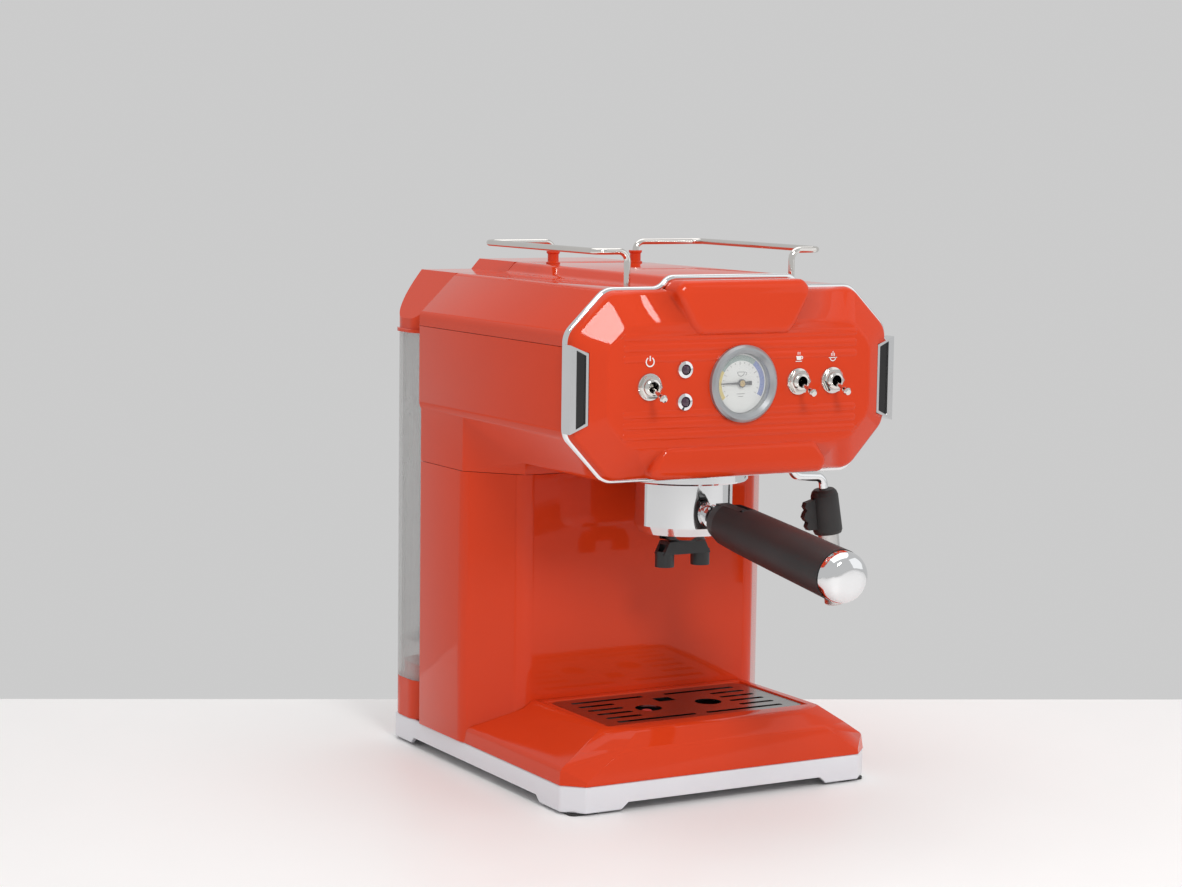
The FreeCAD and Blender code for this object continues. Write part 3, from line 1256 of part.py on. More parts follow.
def build_inside():
    pump = piece("pump")
    place(pump, -30, 30, 62)
    lathe(pump, [("0", "0"), ("8", "0"), ("8", "14"), ("20", "16"), ("20", "78"), ("9", "80"),
                 ("9", "98"), ("4", "99"), ("4", "108"), ("0", "108")])
    bracket = piece("pump_bracket")
    pad(bracket, "top", "54", [rectangle("-60", "0", "4", "56")], "1.6")
    pad(bracket, "top", "54", [rectangle("-60", "-58.4", "4", "56")], "62")
    pad(bracket, "top", "114.4", [rectangle("-60", "0", "4", "56"), ("-30", "30", "40.4")],
        "1.6")
    pocket(bracket, "top", "56", [("-30", "30", "17")], "3")
    legs = [rectangle("-60", "-58.4", "4", "56")]
    pad(bracket, "top", "band_low + 0.5 + plate_thick", legs, "54 - band_low - 0.4 - plate_thick")

    board = piece("control_board")
    pad(board, "side", "62", [rectangle("16", "68", "80", "160")], "1.6")
    for y, z, wide, tall in ((22, 92, 14, 16), (46, 100, 12, 24), (32, 132, 20, 12)):
        pad(board, "side", "62", [rectangle(f"{y}", f"{y} + {wide}", f"{z}", f"{z} + {tall}")],
            "12", flip=True)
    wall_side = "(column_wide/2 - skin - 0.05)"
    posts = [(y, z, "6") for y in ("24", "62") for z in ("86", "154")]
    pad(board, "side", "63.6", posts, f"{wall_side} - 63.6")

    steam = piece("steam_valve")
    pad(steam, "top", "under_height + 10.1",
        [rectangle("wand_side - 11", "wand_side + 11", "wand_place - 11", "wand_place + 11")],
        "16")
    pad(steam, "top", "under_height + 26.1", [("wand_side", "wand_place", "17")], "22")

    gland = piece("cord_gland")
    far = "(head_rear + tank_gap + tank_deep)"
    place(gland, "cord_side", far, "cord_height", BACKWARD)
    lathe(gland, [("3.4", "-8"), ("5.9", "-8"), ("5.9", "0.05"), ("8.6", "0.05"), ("8.2", "2.2"),
                  ("5.4", "3.2"), ("4.9", "11"), ("3.4", "11.6")])

    near = number("head_rear + tank_gap")
    middle_y = near + number("tank_deep") / 2
    outlet = number("tank_low + plinth_tall - 0.2") - 14.1
    hose_z = number("seat_hose")
    suction = [Vector(0, middle_y, outlet), Vector(0, middle_y, hose_z),
               Vector(0, 30, hose_z), Vector(-30, 30, hose_z), Vector(-30, 30, 61.9)]
    boiler_side = number("group_place")
    ring_low = number("ring_low")
    feed = [Vector(-30, 30, 170.1), Vector(-30, 30, ring_low + 52),
            Vector(-30, boiler_side + 21.5, ring_low + 52)]
    shaped("water_hoses", Part.makeCompound([swept_rod(suction, 8.0, 7.0),
                                             swept_rod(feed, 12.0, 6.0)]))
    steam_z = number("under_height") + 38
    pipe = [Vector(34.2, boiler_side, steam_z), Vector(number("wand_side") - 8.6,
                                                      number("wand_place"), steam_z)]
    rod = Part.makeCylinder(2, pipe[0].distanceToPoint(pipe[1]), pipe[0], pipe[1] - pipe[0])
    shaped("steam_pipe", rod)


# ---------------------------------------------------------------- document

def check_document():
    """No object may have failed, and every piece is a valid solid."""
    for made in doc.Objects:
        if "Invalid" in made.State or "Error" in made.State:
            raise RuntimeError(f"{made.Label} failed: {made.State}")
    labels = [made.Label for made in PIECES]
    if len(set(labels)) != len(labels):
        raise RuntimeError("two pieces have the same name")
    for made in PIECES:
        shape = made.Shape
        if shape.isNull() or not shape.isValid() or not shape.Solids:
            raise RuntimeError(f"{made.Label} has no valid solid")


def main():
    """Build every piece, check the document and write the files."""
    build_base()
    build_tray_housing()
    build_column()
    build_head()
    build_front()
    build_controls()
    build_group()
    build_filter_holder()
    build_wand()
    build_tank()
    build_lid()
    build_tray()
    build_rails()
    build_inside()
    together("screws", SCREWS)
    doc.recompute()
    check_document()
    os.makedirs("parts", exist_ok=True)
    for made in PIECES:
        made.Shape.exportStep(os.path.join("parts", f"{made.Label}.step"))
    print(len(PIECES), "pieces")


main()
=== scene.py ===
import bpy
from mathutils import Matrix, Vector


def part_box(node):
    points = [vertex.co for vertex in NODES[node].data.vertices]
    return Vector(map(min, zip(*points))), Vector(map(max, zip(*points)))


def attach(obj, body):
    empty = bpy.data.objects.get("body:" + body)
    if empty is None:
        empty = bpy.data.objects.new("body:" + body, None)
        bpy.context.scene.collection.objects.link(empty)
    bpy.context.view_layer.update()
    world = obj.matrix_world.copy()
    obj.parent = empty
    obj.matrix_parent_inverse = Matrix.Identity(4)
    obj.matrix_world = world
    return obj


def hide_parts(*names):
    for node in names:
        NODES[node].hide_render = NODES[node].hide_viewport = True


bl_info = {
    "name": "Espresso machine",
    "version": (1, 0, 0),
    "blender": (4, 5, 0),
    "location": "View3D > Sidebar > Espresso",
    "description": "Finishes, detail pieces and studio for the espresso machine",
    "category": "Object",
}

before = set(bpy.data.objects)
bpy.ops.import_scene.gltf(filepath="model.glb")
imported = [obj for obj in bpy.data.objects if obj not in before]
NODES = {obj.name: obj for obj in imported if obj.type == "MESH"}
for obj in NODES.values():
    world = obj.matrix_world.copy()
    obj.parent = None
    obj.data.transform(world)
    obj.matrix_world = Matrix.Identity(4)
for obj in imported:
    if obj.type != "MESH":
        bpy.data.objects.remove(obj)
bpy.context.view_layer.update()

import math

import bmesh
import bpy
from bpy.props import FloatProperty, FloatVectorProperty, IntProperty, PointerProperty
from mathutils import Matrix, Vector

MM = 0.001
FULL_TURN = 2 * math.pi
LEVERS = ("power_lever", "coffee_lever", "steam_lever")
WELD = 1e-7


# ---------------------------------------------------------------- settings

def size(name, default, description):
    """A length that a user may change."""
    return FloatProperty(name=name, default=default, description=description,
                         unit="LENGTH", subtype="DISTANCE", precision=4)


def colour(name, default, description):
    """A colour that a user may change."""
    return FloatVectorProperty(name=name, default=default, description=description,
                               subtype="COLOR", size=3, min=0.0, max=1.0)


class FinishColours(bpy.types.PropertyGroup):
    """Colours of the machine's finishes."""
    shell: colour("Shell", (0.68, 0.050, 0.011), "Glossy moulded shell")
    silver: colour("Silver", (0.78, 0.78, 0.82), "Satin base frame")
    black: colour("Black", (0.018, 0.018, 0.019), "Matte black plastic")
    rubber: colour("Rubber", (0.022, 0.021, 0.021), "Rubber parts")
    dial: colour("Dial", (0.80, 0.81, 0.79), "Gauge dial")
    cold: colour("Cold arc", (0.72, 0.56, 0.14), "First stretch of the dial")
    ready: colour("Ready arc", (0.27, 0.36, 0.33), "Middle stretch of the dial")
    hot: colour("Hot arc", (0.16, 0.22, 0.50), "Last stretch of the dial")
    tank: colour("Tank", (0.55, 0.55, 0.54), "Tint of the clear tank")
    wall: colour("Backdrop", (0.60, 0.60, 0.60), "Studio backdrop")
    floor: colour("Floor", (0.95, 0.935, 0.93), "Studio floor")


class PanelSizes(bpy.types.PropertyGroup):
    """Sizes of the moulded front panel."""
    corner: size("Corner", 13 * MM, "Rounding of the panel's corners")
    border: size("Border", 25 * MM, "Width of the swelling border")
    rib_half: size("Rib half length", 83 * MM, "Half the length of a rib")
    rib_tall: size("Rib height", 2.4 * MM, "Half the height of a rib")
    rib_rise: size("Rib rise", 0.45 * MM, "How far a rib stands out")
    drop: FloatProperty(name="Handle drop", default=math.radians(7), subtype="ANGLE",
                        unit="ROTATION", description="Angle by which the handle slopes down")
    edge: size("Edge", 1.6 * MM, "Rounding of the shells' long edges")
    boss_rise: size("Boss rise", 2.8 * MM, "How far the top boss stands out")
    chin_rise: size("Chin rise", 1.5 * MM, "How far the lower boss stands out")
    hole: size("Gauge hole", 19.7 * MM, "Radius of the hole behind the gauge")


class PrintSizes(bpy.types.PropertyGroup):
    """Sizes of the printed marks."""
    thick: size("Print", 0.12 * MM, "Thickness of a printed mark")
    stroke: size("Stroke", 0.75 * MM, "Width of a symbol's line")
    symbol: size("Symbol", 2.7 * MM, "Half the size of a symbol")
    ticks: IntProperty(name="Ticks", default=17, min=2, description="Marks on the dial")


class StudioSizes(bpy.types.PropertyGroup):
    """Camera and studio."""
    lens: FloatProperty(name="Lens", default=79.66, description="Focal length in mm")
    yaw: FloatProperty(name="Yaw", default=math.radians(29.664), subtype="ANGLE",
                       unit="ROTATION", description="Camera's turn from straight ahead")
    pitch: FloatProperty(name="Pitch", default=math.radians(6.440), subtype="ANGLE",
                         unit="ROTATION", description="Camera's tilt down")
    roll: FloatProperty(name="Roll", default=math.radians(0.779), subtype="ANGLE",
                        unit="ROTATION", description="Camera's roll")
    spot: FloatVectorProperty(name="Camera", default=(-0.85138, -1.44740, 0.39533),
                              subtype="TRANSLATION", unit="LENGTH",
                              description="Camera's place")
    table: size("Table edge", 1.856, "Table's far edge, ahead of the camera")
    skew: FloatProperty(name="Table skew", default=0.0626, description="Slant of that edge")


GROUPS = {"esp_colours": FinishColours, "esp_panel": PanelSizes, "esp_print": PrintSizes,
          "esp_studio": StudioSizes}


# ---------------------------------------------------------------- shader groups

NOISE_LOW, NOISE_HIGH = 0.25, 0.75      # where nearly all noise values lie
MIX_FACTOR, MIX_FROM, MIX_TO = 0, 6, 7  # colour sockets of the Mix node
MIX_RESULT = 2


def group_of(name, inputs, outputs):
    """A new shader group with its sockets: {name: default} in, {name: kind} out."""
    tree = bpy.data.node_groups.new(name, "ShaderNodeTree")
    for label, value in inputs.items():
        kind = "NodeSocketColor" if isinstance(value, tuple) else "NodeSocketFloat"
        tree.interface.new_socket(label, in_out="INPUT", socket_type=kind).default_value = value
    for label, kind in outputs.items():
        tree.interface.new_socket(label, in_out="OUTPUT", socket_type=kind)
    entry = tree.nodes.new("NodeGroupInput")
    leave = tree.nodes.new("NodeGroupOutput")
    return tree, entry.outputs, leave.inputs


def noise_in(tree, scale, detail=4.0, stretch=None):
    """Noise on Object coordinates inside a group; scale is a socket or a number."""
    where = tree.nodes.new("ShaderNodeTexCoord").outputs["Object"]
    if stretch:
        mapping = tree.nodes.new("ShaderNodeMapping")
        mapping.inputs["Scale"].default_value = stretch
        tree.links.new(where, mapping.inputs["Vector"])
        where = mapping.outputs["Vector"]
    noise = tree.nodes.new("ShaderNodeTexNoise")
    noise.inputs["Detail"].default_value = detail
    tree.links.new(where, noise.inputs["Vector"])
    if isinstance(scale, bpy.types.NodeSocket):
        tree.links.new(scale, noise.inputs["Scale"])
    else:
        noise.inputs["Scale"].default_value = scale
    return noise.outputs["Fac"]


def ranged(tree, value, low, high):
    """A 0..1 value spread between two numbers or sockets."""
    spread = tree.nodes.new("ShaderNodeMapRange")
    spread.inputs["From Min"].default_value = NOISE_LOW
    spread.inputs["From Max"].default_value = NOISE_HIGH
    tree.links.new(value, spread.inputs["Value"])
    for label, end in (("To Min", low), ("To Max", high)):
        if isinstance(end, bpy.types.NodeSocket):
            tree.links.new(end, spread.inputs[label])
        else:
            spread.inputs[label].default_value = end
    return spread.outputs["Result"]


def build_tinted():
    """Colour that drifts a little between two tones."""
    tree, given, result = group_of(
        "Drifting tint", {"Light": (1, 1, 1, 1), "Dark": (0, 0, 0, 1), "Scale": 40.0},
        {"Color": "NodeSocketColor"})
    blend = tree.nodes.new("ShaderNodeMix")
    blend.data_type = "RGBA"
    share = ranged(tree, noise_in(tree, given["Scale"]), 0.0, 1.0)
    tree.links.new(share, blend.inputs[MIX_FACTOR])
    tree.links.new(given["Light"], blend.inputs[MIX_FROM])
    tree.links.new(given["Dark"], blend.inputs[MIX_TO])
    tree.links.new(blend.outputs[MIX_RESULT], result["Color"])


def build_handling():
    """Roughness that changes where hands and cloths have been."""
    tree, given, result = group_of(
        "Handling marks", {"Smooth": 0.1, "Dull": 0.2, "Scale": 25.0},
        {"Roughness": "NodeSocketFloat"})
    spread = ranged(tree, noise_in(tree, given["Scale"], 6.0), given["Smooth"], given["Dull"])
    tree.links.new(spread, result["Roughness"])


def build_grain():
    """Height of a fine moulded or cast grain."""
    tree, given, result = group_of("Fine grain", {"Scale": 800.0},
                                   {"Height": "NodeSocketFloat"})
    tree.links.new(noise_in(tree, given["Scale"], 2.0), result["Height"])


def build_brushing(name, stretch):
    """Roughness and height of brush lines along one axis."""
    tree, given, result = group_of(
        name, {"Smooth": 0.2, "Dull": 0.4, "Scale": 30.0},
        {"Roughness": "NodeSocketFloat", "Height": "NodeSocketFloat"})
    lines = noise_in(tree, given["Scale"], 3.0, stretch)
    tree.links.new(ranged(tree, lines, given["Smooth"], given["Dull"]), result["Roughness"])
    tree.links.new(lines, result["Height"])


BRUSHINGS = {"Brushed along": (1, 30, 30), "Brushed up": (30, 30, 1)}


# ---------------------------------------------------------------- materials

SOLID_IOR, CLEAR_IOR = 1.5, 1.45
COAT_ROUGHNESS = 0.03
EDGE_BLEND = 0.35
GRAIN_DEPTH = 0.1 * MM
BRUSH_DEPTH = 0.05 * MM


class Finish:
    """A material under construction, with its Principled shader."""

    def __init__(self, name, metallic=0.0, coat=0.0, specular=0.5):
        self.made = bpy.data.materials.new(name)
        self.made.use_nodes = True
        self.tree = self.made.node_tree
        self.shader = self.tree.nodes["Principled BSDF"]
        self.set("Metallic", metallic)
        self.set("Coat Weight", coat)
        self.set("Coat Roughness", COAT_ROUGHNESS)
        self.set("IOR", SOLID_IOR)
        self.set("Specular IOR Level", specular)

    def set(self, label, value):
        """A plain value for one of the shader's sockets."""
        self.shader.inputs[label].default_value = value

    def group(self, name, **values):
        """Place a shader group with its own values."""
        node = self.tree.nodes.new("ShaderNodeGroup")
        node.node_tree = bpy.data.node_groups[name]
        for label, value in values.items():
            node.inputs[label].default_value = value
        return node.outputs

    def tint(self, tone, drift=0.12, scale=40.0):
        """Base colour with a slight drift."""
        dark = tuple(channel * (1 - drift) for channel in tone)
        light = tuple(min(1.0, channel * (1 + drift * 0.5)) for channel in tone)
        out = self.group("Drifting tint", Light=(*light, 1), Dark=(*dark, 1), Scale=scale)
        self.tree.links.new(out["Color"], self.shader.inputs["Base Color"])
        return self

    def handled(self, smooth, dull, scale=25.0):
        """Roughness that wanders between two values."""
        out = self.group("Handling marks", Smooth=smooth, Dull=dull, Scale=scale)
        self.tree.links.new(out["Roughness"], self.shader.inputs["Roughness"])
        return self

    def bump(self, height, strength, distance):
        """Relief from a height."""
        node = self.tree.nodes.new("ShaderNodeBump")
        node.inputs["Strength"].default_value = strength
        node.inputs["Distance"].default_value = distance
        self.tree.links.new(height, node.inputs["Height"])
        self.tree.links.new(node.outputs["Normal"], self.shader.inputs["Normal"])
        return self

    def grained(self, scale, strength):
        """Relief of a fine grain."""
        height = self.group("Fine grain", Scale=scale)["Height"]
        return self.bump(height, strength, GRAIN_DEPTH)

    def brushed(self, way, smooth, dull, scale=30.0, strength=0.15):
        """Brush lines along one axis."""
        out = self.group(way, Smooth=smooth, Dull=dull, Scale=scale)
        self.tree.links.new(out["Roughness"], self.shader.inputs["Roughness"])
        return self.bump(out["Height"], strength, BRUSH_DEPTH)

    def see_through(self, facing, edge):
        """Opacity that grows where the surface turns away, so the base colour shows more towards
        the edges as a painted reflection.
        """
        turn = self.tree.nodes.new("ShaderNodeLayerWeight")
        turn.inputs["Blend"].default_value = EDGE_BLEND
        spread = self.tree.nodes.new("ShaderNodeMapRange")
        spread.inputs["To Min"].default_value = facing
        spread.inputs["To Max"].default_value = edge
        self.tree.links.new(turn.outputs["Facing"], spread.inputs["Value"])
        self.tree.links.new(spread.outputs["Result"], self.shader.inputs["Alpha"])
        self.set("IOR", CLEAR_IOR)
        return self


def make_finishes(tones):
    """Every finish of the machine, by name."""
    Finish("Orange gloss", coat=0.08, specular=0.20).tint(tones.shell, 0.05, 9.0).handled(
        0.05, 0.09, 14.0)
    Finish("Bright chrome", metallic=1.0).tint((0.80, 0.81, 0.82), 0.03).handled(
        0.04, 0.09, 30.0)
    Finish("Warm chrome", metallic=1.0).tint((0.74, 0.72, 0.69), 0.04).handled(
        0.07, 0.13, 40.0)
    Finish("Silver base", metallic=0.2, coat=0.15).tint(tones.silver, 0.04, 15.0).handled(
        0.28, 0.38).grained(1400.0, 0.08)
    Finish("Black moulding").tint(tones.black, 0.25, 60.0).handled(0.38, 0.5, 40.0).grained(
        1800.0, 0.2)
    Finish("Black handle").tint(tones.black, 0.2, 30.0).handled(0.42, 0.52, 30.0).grained(
        2200.0, 0.25)
    Finish("Black gloss", coat=0.4).tint((0.006, 0.006, 0.007), 0.2).handled(
        0.08, 0.16, 50.0).grained(500.0, 0.02)
    Finish("Rubber").tint(tones.rubber, 0.3, 80.0).handled(0.5, 0.65, 60.0).grained(
        1600.0, 0.3)
    Finish("Red seal").tint((0.25, 0.05, 0.03), 0.2).handled(0.5, 0.6).grained(900.0, 0.2)
    Finish("Zinc sheet", metallic=1.0).tint((0.60, 0.61, 0.63), 0.12, 50.0).brushed(
        "Brushed along", 0.32, 0.5)
    Finish("Plated screws", metallic=1.0).tint((0.60, 0.60, 0.61), 0.1, 200.0).handled(
        0.2, 0.35, 300.0).grained(2000.0, 0.1)
    Finish("Dark steel", metallic=1.0).tint((0.30, 0.29, 0.285), 0.08, 30.0).brushed(
        "Brushed along", 0.14, 0.26, 20.0, 0.05)
    Finish("Brushed steel", metallic=1.0).tint((0.62, 0.61, 0.60), 0.06).brushed(
        "Brushed up", 0.22, 0.4, 40.0)
    Finish("Satin grey", metallic=0.6).tint((0.40, 0.415, 0.43), 0.05, 60.0).handled(
        0.26, 0.36, 60.0).grained(1500.0, 0.08)
    Finish("Dial white").tint(tones.dial, 0.03, 60.0).handled(0.4, 0.5).grained(900.0, 0.05)
    for name, tone in (("Dial cold", tones.cold), ("Dial ready", tones.ready),
                       ("Dial hot", tones.hot), ("Print grey", (0.22, 0.22, 0.23)),
                       ("Print white", (0.86, 0.84, 0.82)), ("Print black", (0.02, 0.02, 0.02))):
        Finish(name).tint(tone, 0.08, 120.0).handled(0.4, 0.5).grained(900.0, 0.05)
    Finish("Needle black").tint((0.015, 0.016, 0.02), 0.2).handled(0.3, 0.4).grained(
        900.0, 0.05)
    Finish("Lamp lens", coat=0.8).tint((0.045, 0.012, 0.035), 0.3, 200.0).handled(
        0.05, 0.12, 200.0).grained(700.0, 0.03)
    Finish("Red plastic", coat=0.2).tint((0.62, 0.015, 0.012), 0.1).handled(
        0.25, 0.35).grained(1200.0, 0.1)
    Finish("Grey moulding").tint((0.075, 0.076, 0.08), 0.15, 50.0).handled(0.35, 0.5).grained(
        1500.0, 0.2)
    Finish("Cast aluminium", metallic=1.0).tint((0.52, 0.52, 0.52), 0.1, 90.0).handled(
        0.4, 0.55, 90.0).grained(900.0, 0.4)
    Finish("Brass", metallic=1.0).tint((0.60, 0.42, 0.16), 0.1, 90.0).handled(
        0.2, 0.35, 90.0).grained(900.0, 0.1)
    Finish("Circuit board", coat=0.3).tint((0.015, 0.12, 0.04), 0.2, 120.0).handled(
        0.25, 0.4, 60.0).grained(900.0, 0.2)
    Finish("Silicone").tint((0.60, 0.60, 0.57), 0.08, 60.0).handled(0.35, 0.5).grained(
        900.0, 0.1)
    # near-white tone that rises towards the lens's edges: painted reflection on clear glass
    Finish("Gauge lens", specular=0.7).tint((0.9, 0.92, 0.93), 0.02).handled(
        0.02, 0.05, 30.0).see_through(0.06, 0.55)
    # the tank's grey tint is its own; the extra opacity towards its edges is partly painted
    # reflection
    Finish("Clear tank", coat=0.3, specular=0.6).tint(tones.tank, 0.05, 12.0).handled(
        0.04, 0.1, 12.0).see_through(0.20, 0.75)


NODE_FINISH = {
    "Orange gloss": ("column_shell", "head_shell", "top_cover", "tray_housing", "tank_seat",
                    "tank_lid", "rail_collars", "fascia"),
    "Bright chrome": ("rim_trim", "side_frames", "lamp_rings", "group_ring", "filter_bowl",
                      "handle_cap", "swivel_nut", "wand_tube"),
    "Warm chrome": ("gallery_rails", "switch_bushings", "power_lever", "coffee_lever",
                    "steam_lever"),
    "Silver base": ("base_frame",),
    "Black moulding": ("drip_tray", "switch_bodies", "thermostats", "spout", "tank_coupling",
                       "lid_latch", "pump"),
    "Black handle": ("handle", "basket_clip"),
    "Black gloss": ("side_inserts",),
    "Rubber": ("rubber_feet", "wand_grip", "cord_gland"),
    "Red seal": ("group_seal",),
    "Zinc sheet": ("bottom_plate", "pump_bracket"),
    "Plated screws": ("screws",),
    "Dark steel": ("drip_grid",),
    "Brushed steel": ("shower_screen", "filter_basket", "wand_nozzle"),
    "Satin grey": ("gauge_case",),
    "Dial white": ("gauge_dial",),
    "Needle black": ("gauge_needle",),
    "Lamp lens": ("lamp_lenses",),
    "Red plastic": ("tray_float",),
    "Grey moulding": ("rear_panel", "tank_outlet", "valve_plunger", "lid_catch"),
    "Cast aluminium": ("group_head", "boiler"),
    "Brass": ("steam_valve", "steam_pipe"),
    "Circuit board": ("control_board",),
    "Silicone": ("water_hoses",),
    "Gauge lens": ("gauge_glass",),
    "Clear tank": ("water_tank",),
}


def paint_nodes():
    """Give every carried-over CAD node its finish."""
    for finish, names in NODE_FINISH.items():
        for name in names:
            mesh = NODES[name].data
            mesh.materials.clear()
            mesh.materials.append(bpy.data.materials[finish])


# ---------------------------------------------------------------- mesh helpers

# the largest share of a side that the rounding of one of its ends may take
CORNER_SHARE, EASE_SHARE = 0.46, 0.45
SHARP = 32.0  # degrees


def settle(name, mesh, finish, body, sharp=SHARP):
    """Turn a bmesh into a finished piece that rides on a body."""
    bmesh.ops.remove_doubles(mesh, verts=mesh.verts, dist=WELD)
    bmesh.ops.recalc_face_normals(mesh, faces=mesh.faces)
    data = bpy.data.meshes.new(name)
    mesh.to_mesh(data)
    mesh.free()
    data.materials.append(bpy.data.materials[finish])
    data.shade_smooth()
    data.set_sharp_from_angle(angle=math.radians(sharp))
    piece = bpy.data.objects.new(name, data)
    bpy.context.scene.collection.objects.link(piece)
    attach(piece, body)
    return piece


def mirror_outline(right):
    """The right half of an outline, low to high, and its mirror image."""
    return [Vector((x, z)) for x, z in right] + [Vector((-x, z)) for x, z in reversed(right)]


def drawn_in(outline, inset):
    """An outline with every side moved inward, for sides that run anticlockwise."""
    count = len(outline)
    moved = []
    for i, here in enumerate(outline):
        into = (here - outline[i - 1]).normalized()
        away = (outline[(i + 1) % count] - here).normalized()
        first, second = Vector((-into.y, into.x)), Vector((-away.y, away.x))
        moved.append(here + (first + second) * (inset / (1 + first.dot(second))))
    return moved


def rounded_outline(corners, radius, steps=5):
    """The outline with each corner turned into an arc with the same number of points."""
    count = len(corners)
    points = []
    for i, here in enumerate(corners):
        before, after = corners[i - 1], corners[(i + 1) % count]
        into = (here - before).normalized()
        away = (after - here).normalized()
        turn = into.angle(away)
        room = CORNER_SHARE * min((here - before).length, (after - here).length)
        back = min(radius * math.tan(turn / 2), room)
        bend = back / math.tan(turn / 2)
        inward = (away - into).normalized()
        middle = here + inward * (bend / math.cos(turn / 2))
        start = here - into * back - middle
        sense = 1 if into.x * away.y - into.y * away.x > 0 else -1
        for step in range(steps + 1):
            swing = sense * turn * step / steps
            arm = Matrix.Rotation(swing, 2) @ start
            points.append(middle + arm)
    return points


def front_ring(outline, ahead):
    """An outline of (x, z) stood at a place front to back."""
    return [Vector((point.x, ahead, point.y)) for point in outline]


def loft(mesh, rings, capped=True):
    """Skin a row of rings that have the same number of points, and close its ends."""
    loops = []
    for ring in rings:
        corners = [mesh.verts.new(point) for point in ring]
        loops.append([mesh.edges.new((a, b))
                      for a, b in zip(corners, corners[1:] + corners[:1])])
    for first, second in zip(loops, loops[1:]):
        bmesh.ops.bridge_loops(mesh, edges=first + second)
    if capped:
        for loop in (loops[0], loops[-1]):
            bmesh.ops.contextual_create(mesh, geom=loop)


def hoop(mesh, rings):
    """Skin rings that go round a closed section, with a hole through the middle."""
    loft(mesh, rings + rings[:1], False)


def spun(mesh, profile, where, axis, steps=48):
    """Turn a profile of (radius, rise) round an axis that starts at a place."""
    turn = Vector((0, 0, 1)).rotation_difference(Vector(axis).normalized()).to_matrix()
    points = [mesh.verts.new(Vector(where) + turn @ Vector((radius, 0, rise)))
              for radius, rise in profile]
    edges = [mesh.edges.new(pair) for pair in zip(points, points[1:])]
    bmesh.ops.spin(mesh, geom=points + edges, cent=Vector(where), axis=turn @ Vector((0, 0, 1)),
                   angle=FULL_TURN, steps=steps, use_merge=True, use_duplicate=False)
    bmesh.ops.remove_doubles(mesh, verts=mesh.verts, dist=WELD)


def eased(profile, radius, steps=4):
    """A profile whose inner corners are rounded."""
    points = [Vector(profile[0])]
    for before, here, after in zip(profile, profile[1:], profile[2:]):
        before, here, after = Vector(before), Vector(here), Vector(after)
        reach = min(radius, EASE_SHARE * (here - before).length,
                    EASE_SHARE * (after - here).length)
        start = here + (before - here).normalized() * reach
        finish = here + (after - here).normalized() * reach
        for step in range(steps + 1):
            share = step / steps
            points.append(start * (1 - share) ** 2 + here * 2 * share * (1 - share)
                          + finish * share ** 2)
    points.append(Vector(profile[-1]))
    return [(point.x, point.y) for point in points]


def centre_of(node):
    """Middle of a CAD node's box."""
    low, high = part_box(node)
    return (low + high) / 2


def cut_away(context, piece, mesh):
    """Cut a closed bmesh out of a piece."""
    bmesh.ops.recalc_face_normals(mesh, faces=mesh.faces)
    data = bpy.data.meshes.new("cutter")
    mesh.to_mesh(data)
    mesh.free()
    cutter = bpy.data.objects.new("cutter", data)
    context.scene.collection.objects.link(cutter)
    cut = piece.modifiers.new("cut", "BOOLEAN")
    cut.operation = "DIFFERENCE"
    cut.solver = "EXACT"
    cut.use_self = True
    cut.object = cutter
    apply_modifiers(context, piece)
    bpy.data.objects.remove(cutter)


def apply_modifiers(context, piece):
    """Bake a piece's modifiers into its mesh."""
    ready = piece.evaluated_get(context.evaluated_depsgraph_get())
    data = bpy.data.meshes.new_from_object(ready)
    data.name = piece.name
    piece.modifiers.clear()
    piece.data = data
    if len(data.polygons) == 0:
        raise RuntimeError(f"{piece.name} is empty after its modifiers")


# ---------------------------------------------------------------- front panel

HEAD = {"half": 113.5 * MM, "roof": 87.0 * MM, "under": 199.1 * MM, "jaw": 227.6 * MM,
        "shoulder": 287.8 * MM, "top": 313.7 * MM}
HEAD_OUTLINE = ((HEAD["roof"], HEAD["under"]), (HEAD["half"], HEAD["jaw"]),
                (HEAD["half"], HEAD["shoulder"]), (HEAD["roof"], HEAD["top"]))
PLATEAU_OUTLINE = ((50.0 * MM, HEAD["top"]), (43.8 * MM, 320.5 * MM))
# right halves of the bosses' feet and faces, as (x, z) in mm
NAME_FOOT = ((32, 285.5), (37.5, 291.5), (48.2, 312.6), (42.6, 318.6))
NAME_FACE = ((28.5, 290.0), (33, 294.0), (42.6, 309.6), (38.2, 313.4))
CHIN_FOOT = ((68, 200.4), (54, 220.5))
CHIN_FACE = ((61, 205.4), (51, 216.5))
BOSS_CORNER, BOSS_SOFT, BOSS_STEPS = 6 * MM, 4.5 * MM, 6
RIB_OFFSETS = (-29.5, -23.0, -16.5, 16.5, 23.0, 29.5)
PANEL_INSET = 0.8 * MM
BORDER_SHARE = 0.92
TOGGLE_HOLE = 5.5 * MM
LAMP_LAP = 1 * MM
HOLE_BACK, HOLE_FRONT = -30 * MM, 10 * MM
FRAME_WIDE, FRAME_SLOPE, FRAME_GAP = 12.1 * MM, 5 * MM, 0.35 * MM
CONTROL_HEIGHT = centre_of("gauge_case").z
CONTROL_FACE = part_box("gauge_case")[0].y + 4.2 * MM
RIM_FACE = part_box("rim_trim")[0].y


def pillow_rings(sizes):
    """Rings of the swelling border, from the rim to the flat middle."""
    bulge = RIM_FACE - CONTROL_FACE
    wide = sizes.border * BORDER_SHARE
    profile = eased([(0, 0), (0.06 * wide, 0.3 * bulge), (0.86 * wide, bulge), (wide, bulge)],
                    3.2 * MM, 6)
    rings = []
    for inset, rise in profile:
        outline = rounded_outline(drawn_in(mirror_outline(HEAD_OUTLINE), inset + PANEL_INSET),
                                  sizes.corner)
        rings.append(front_ring(outline, RIM_FACE - rise))
    return rings


def outline_mm(right):
    """A mirrored outline whose right half is given in mm."""
    return mirror_outline([(x * MM, z * MM) for x, z in right])


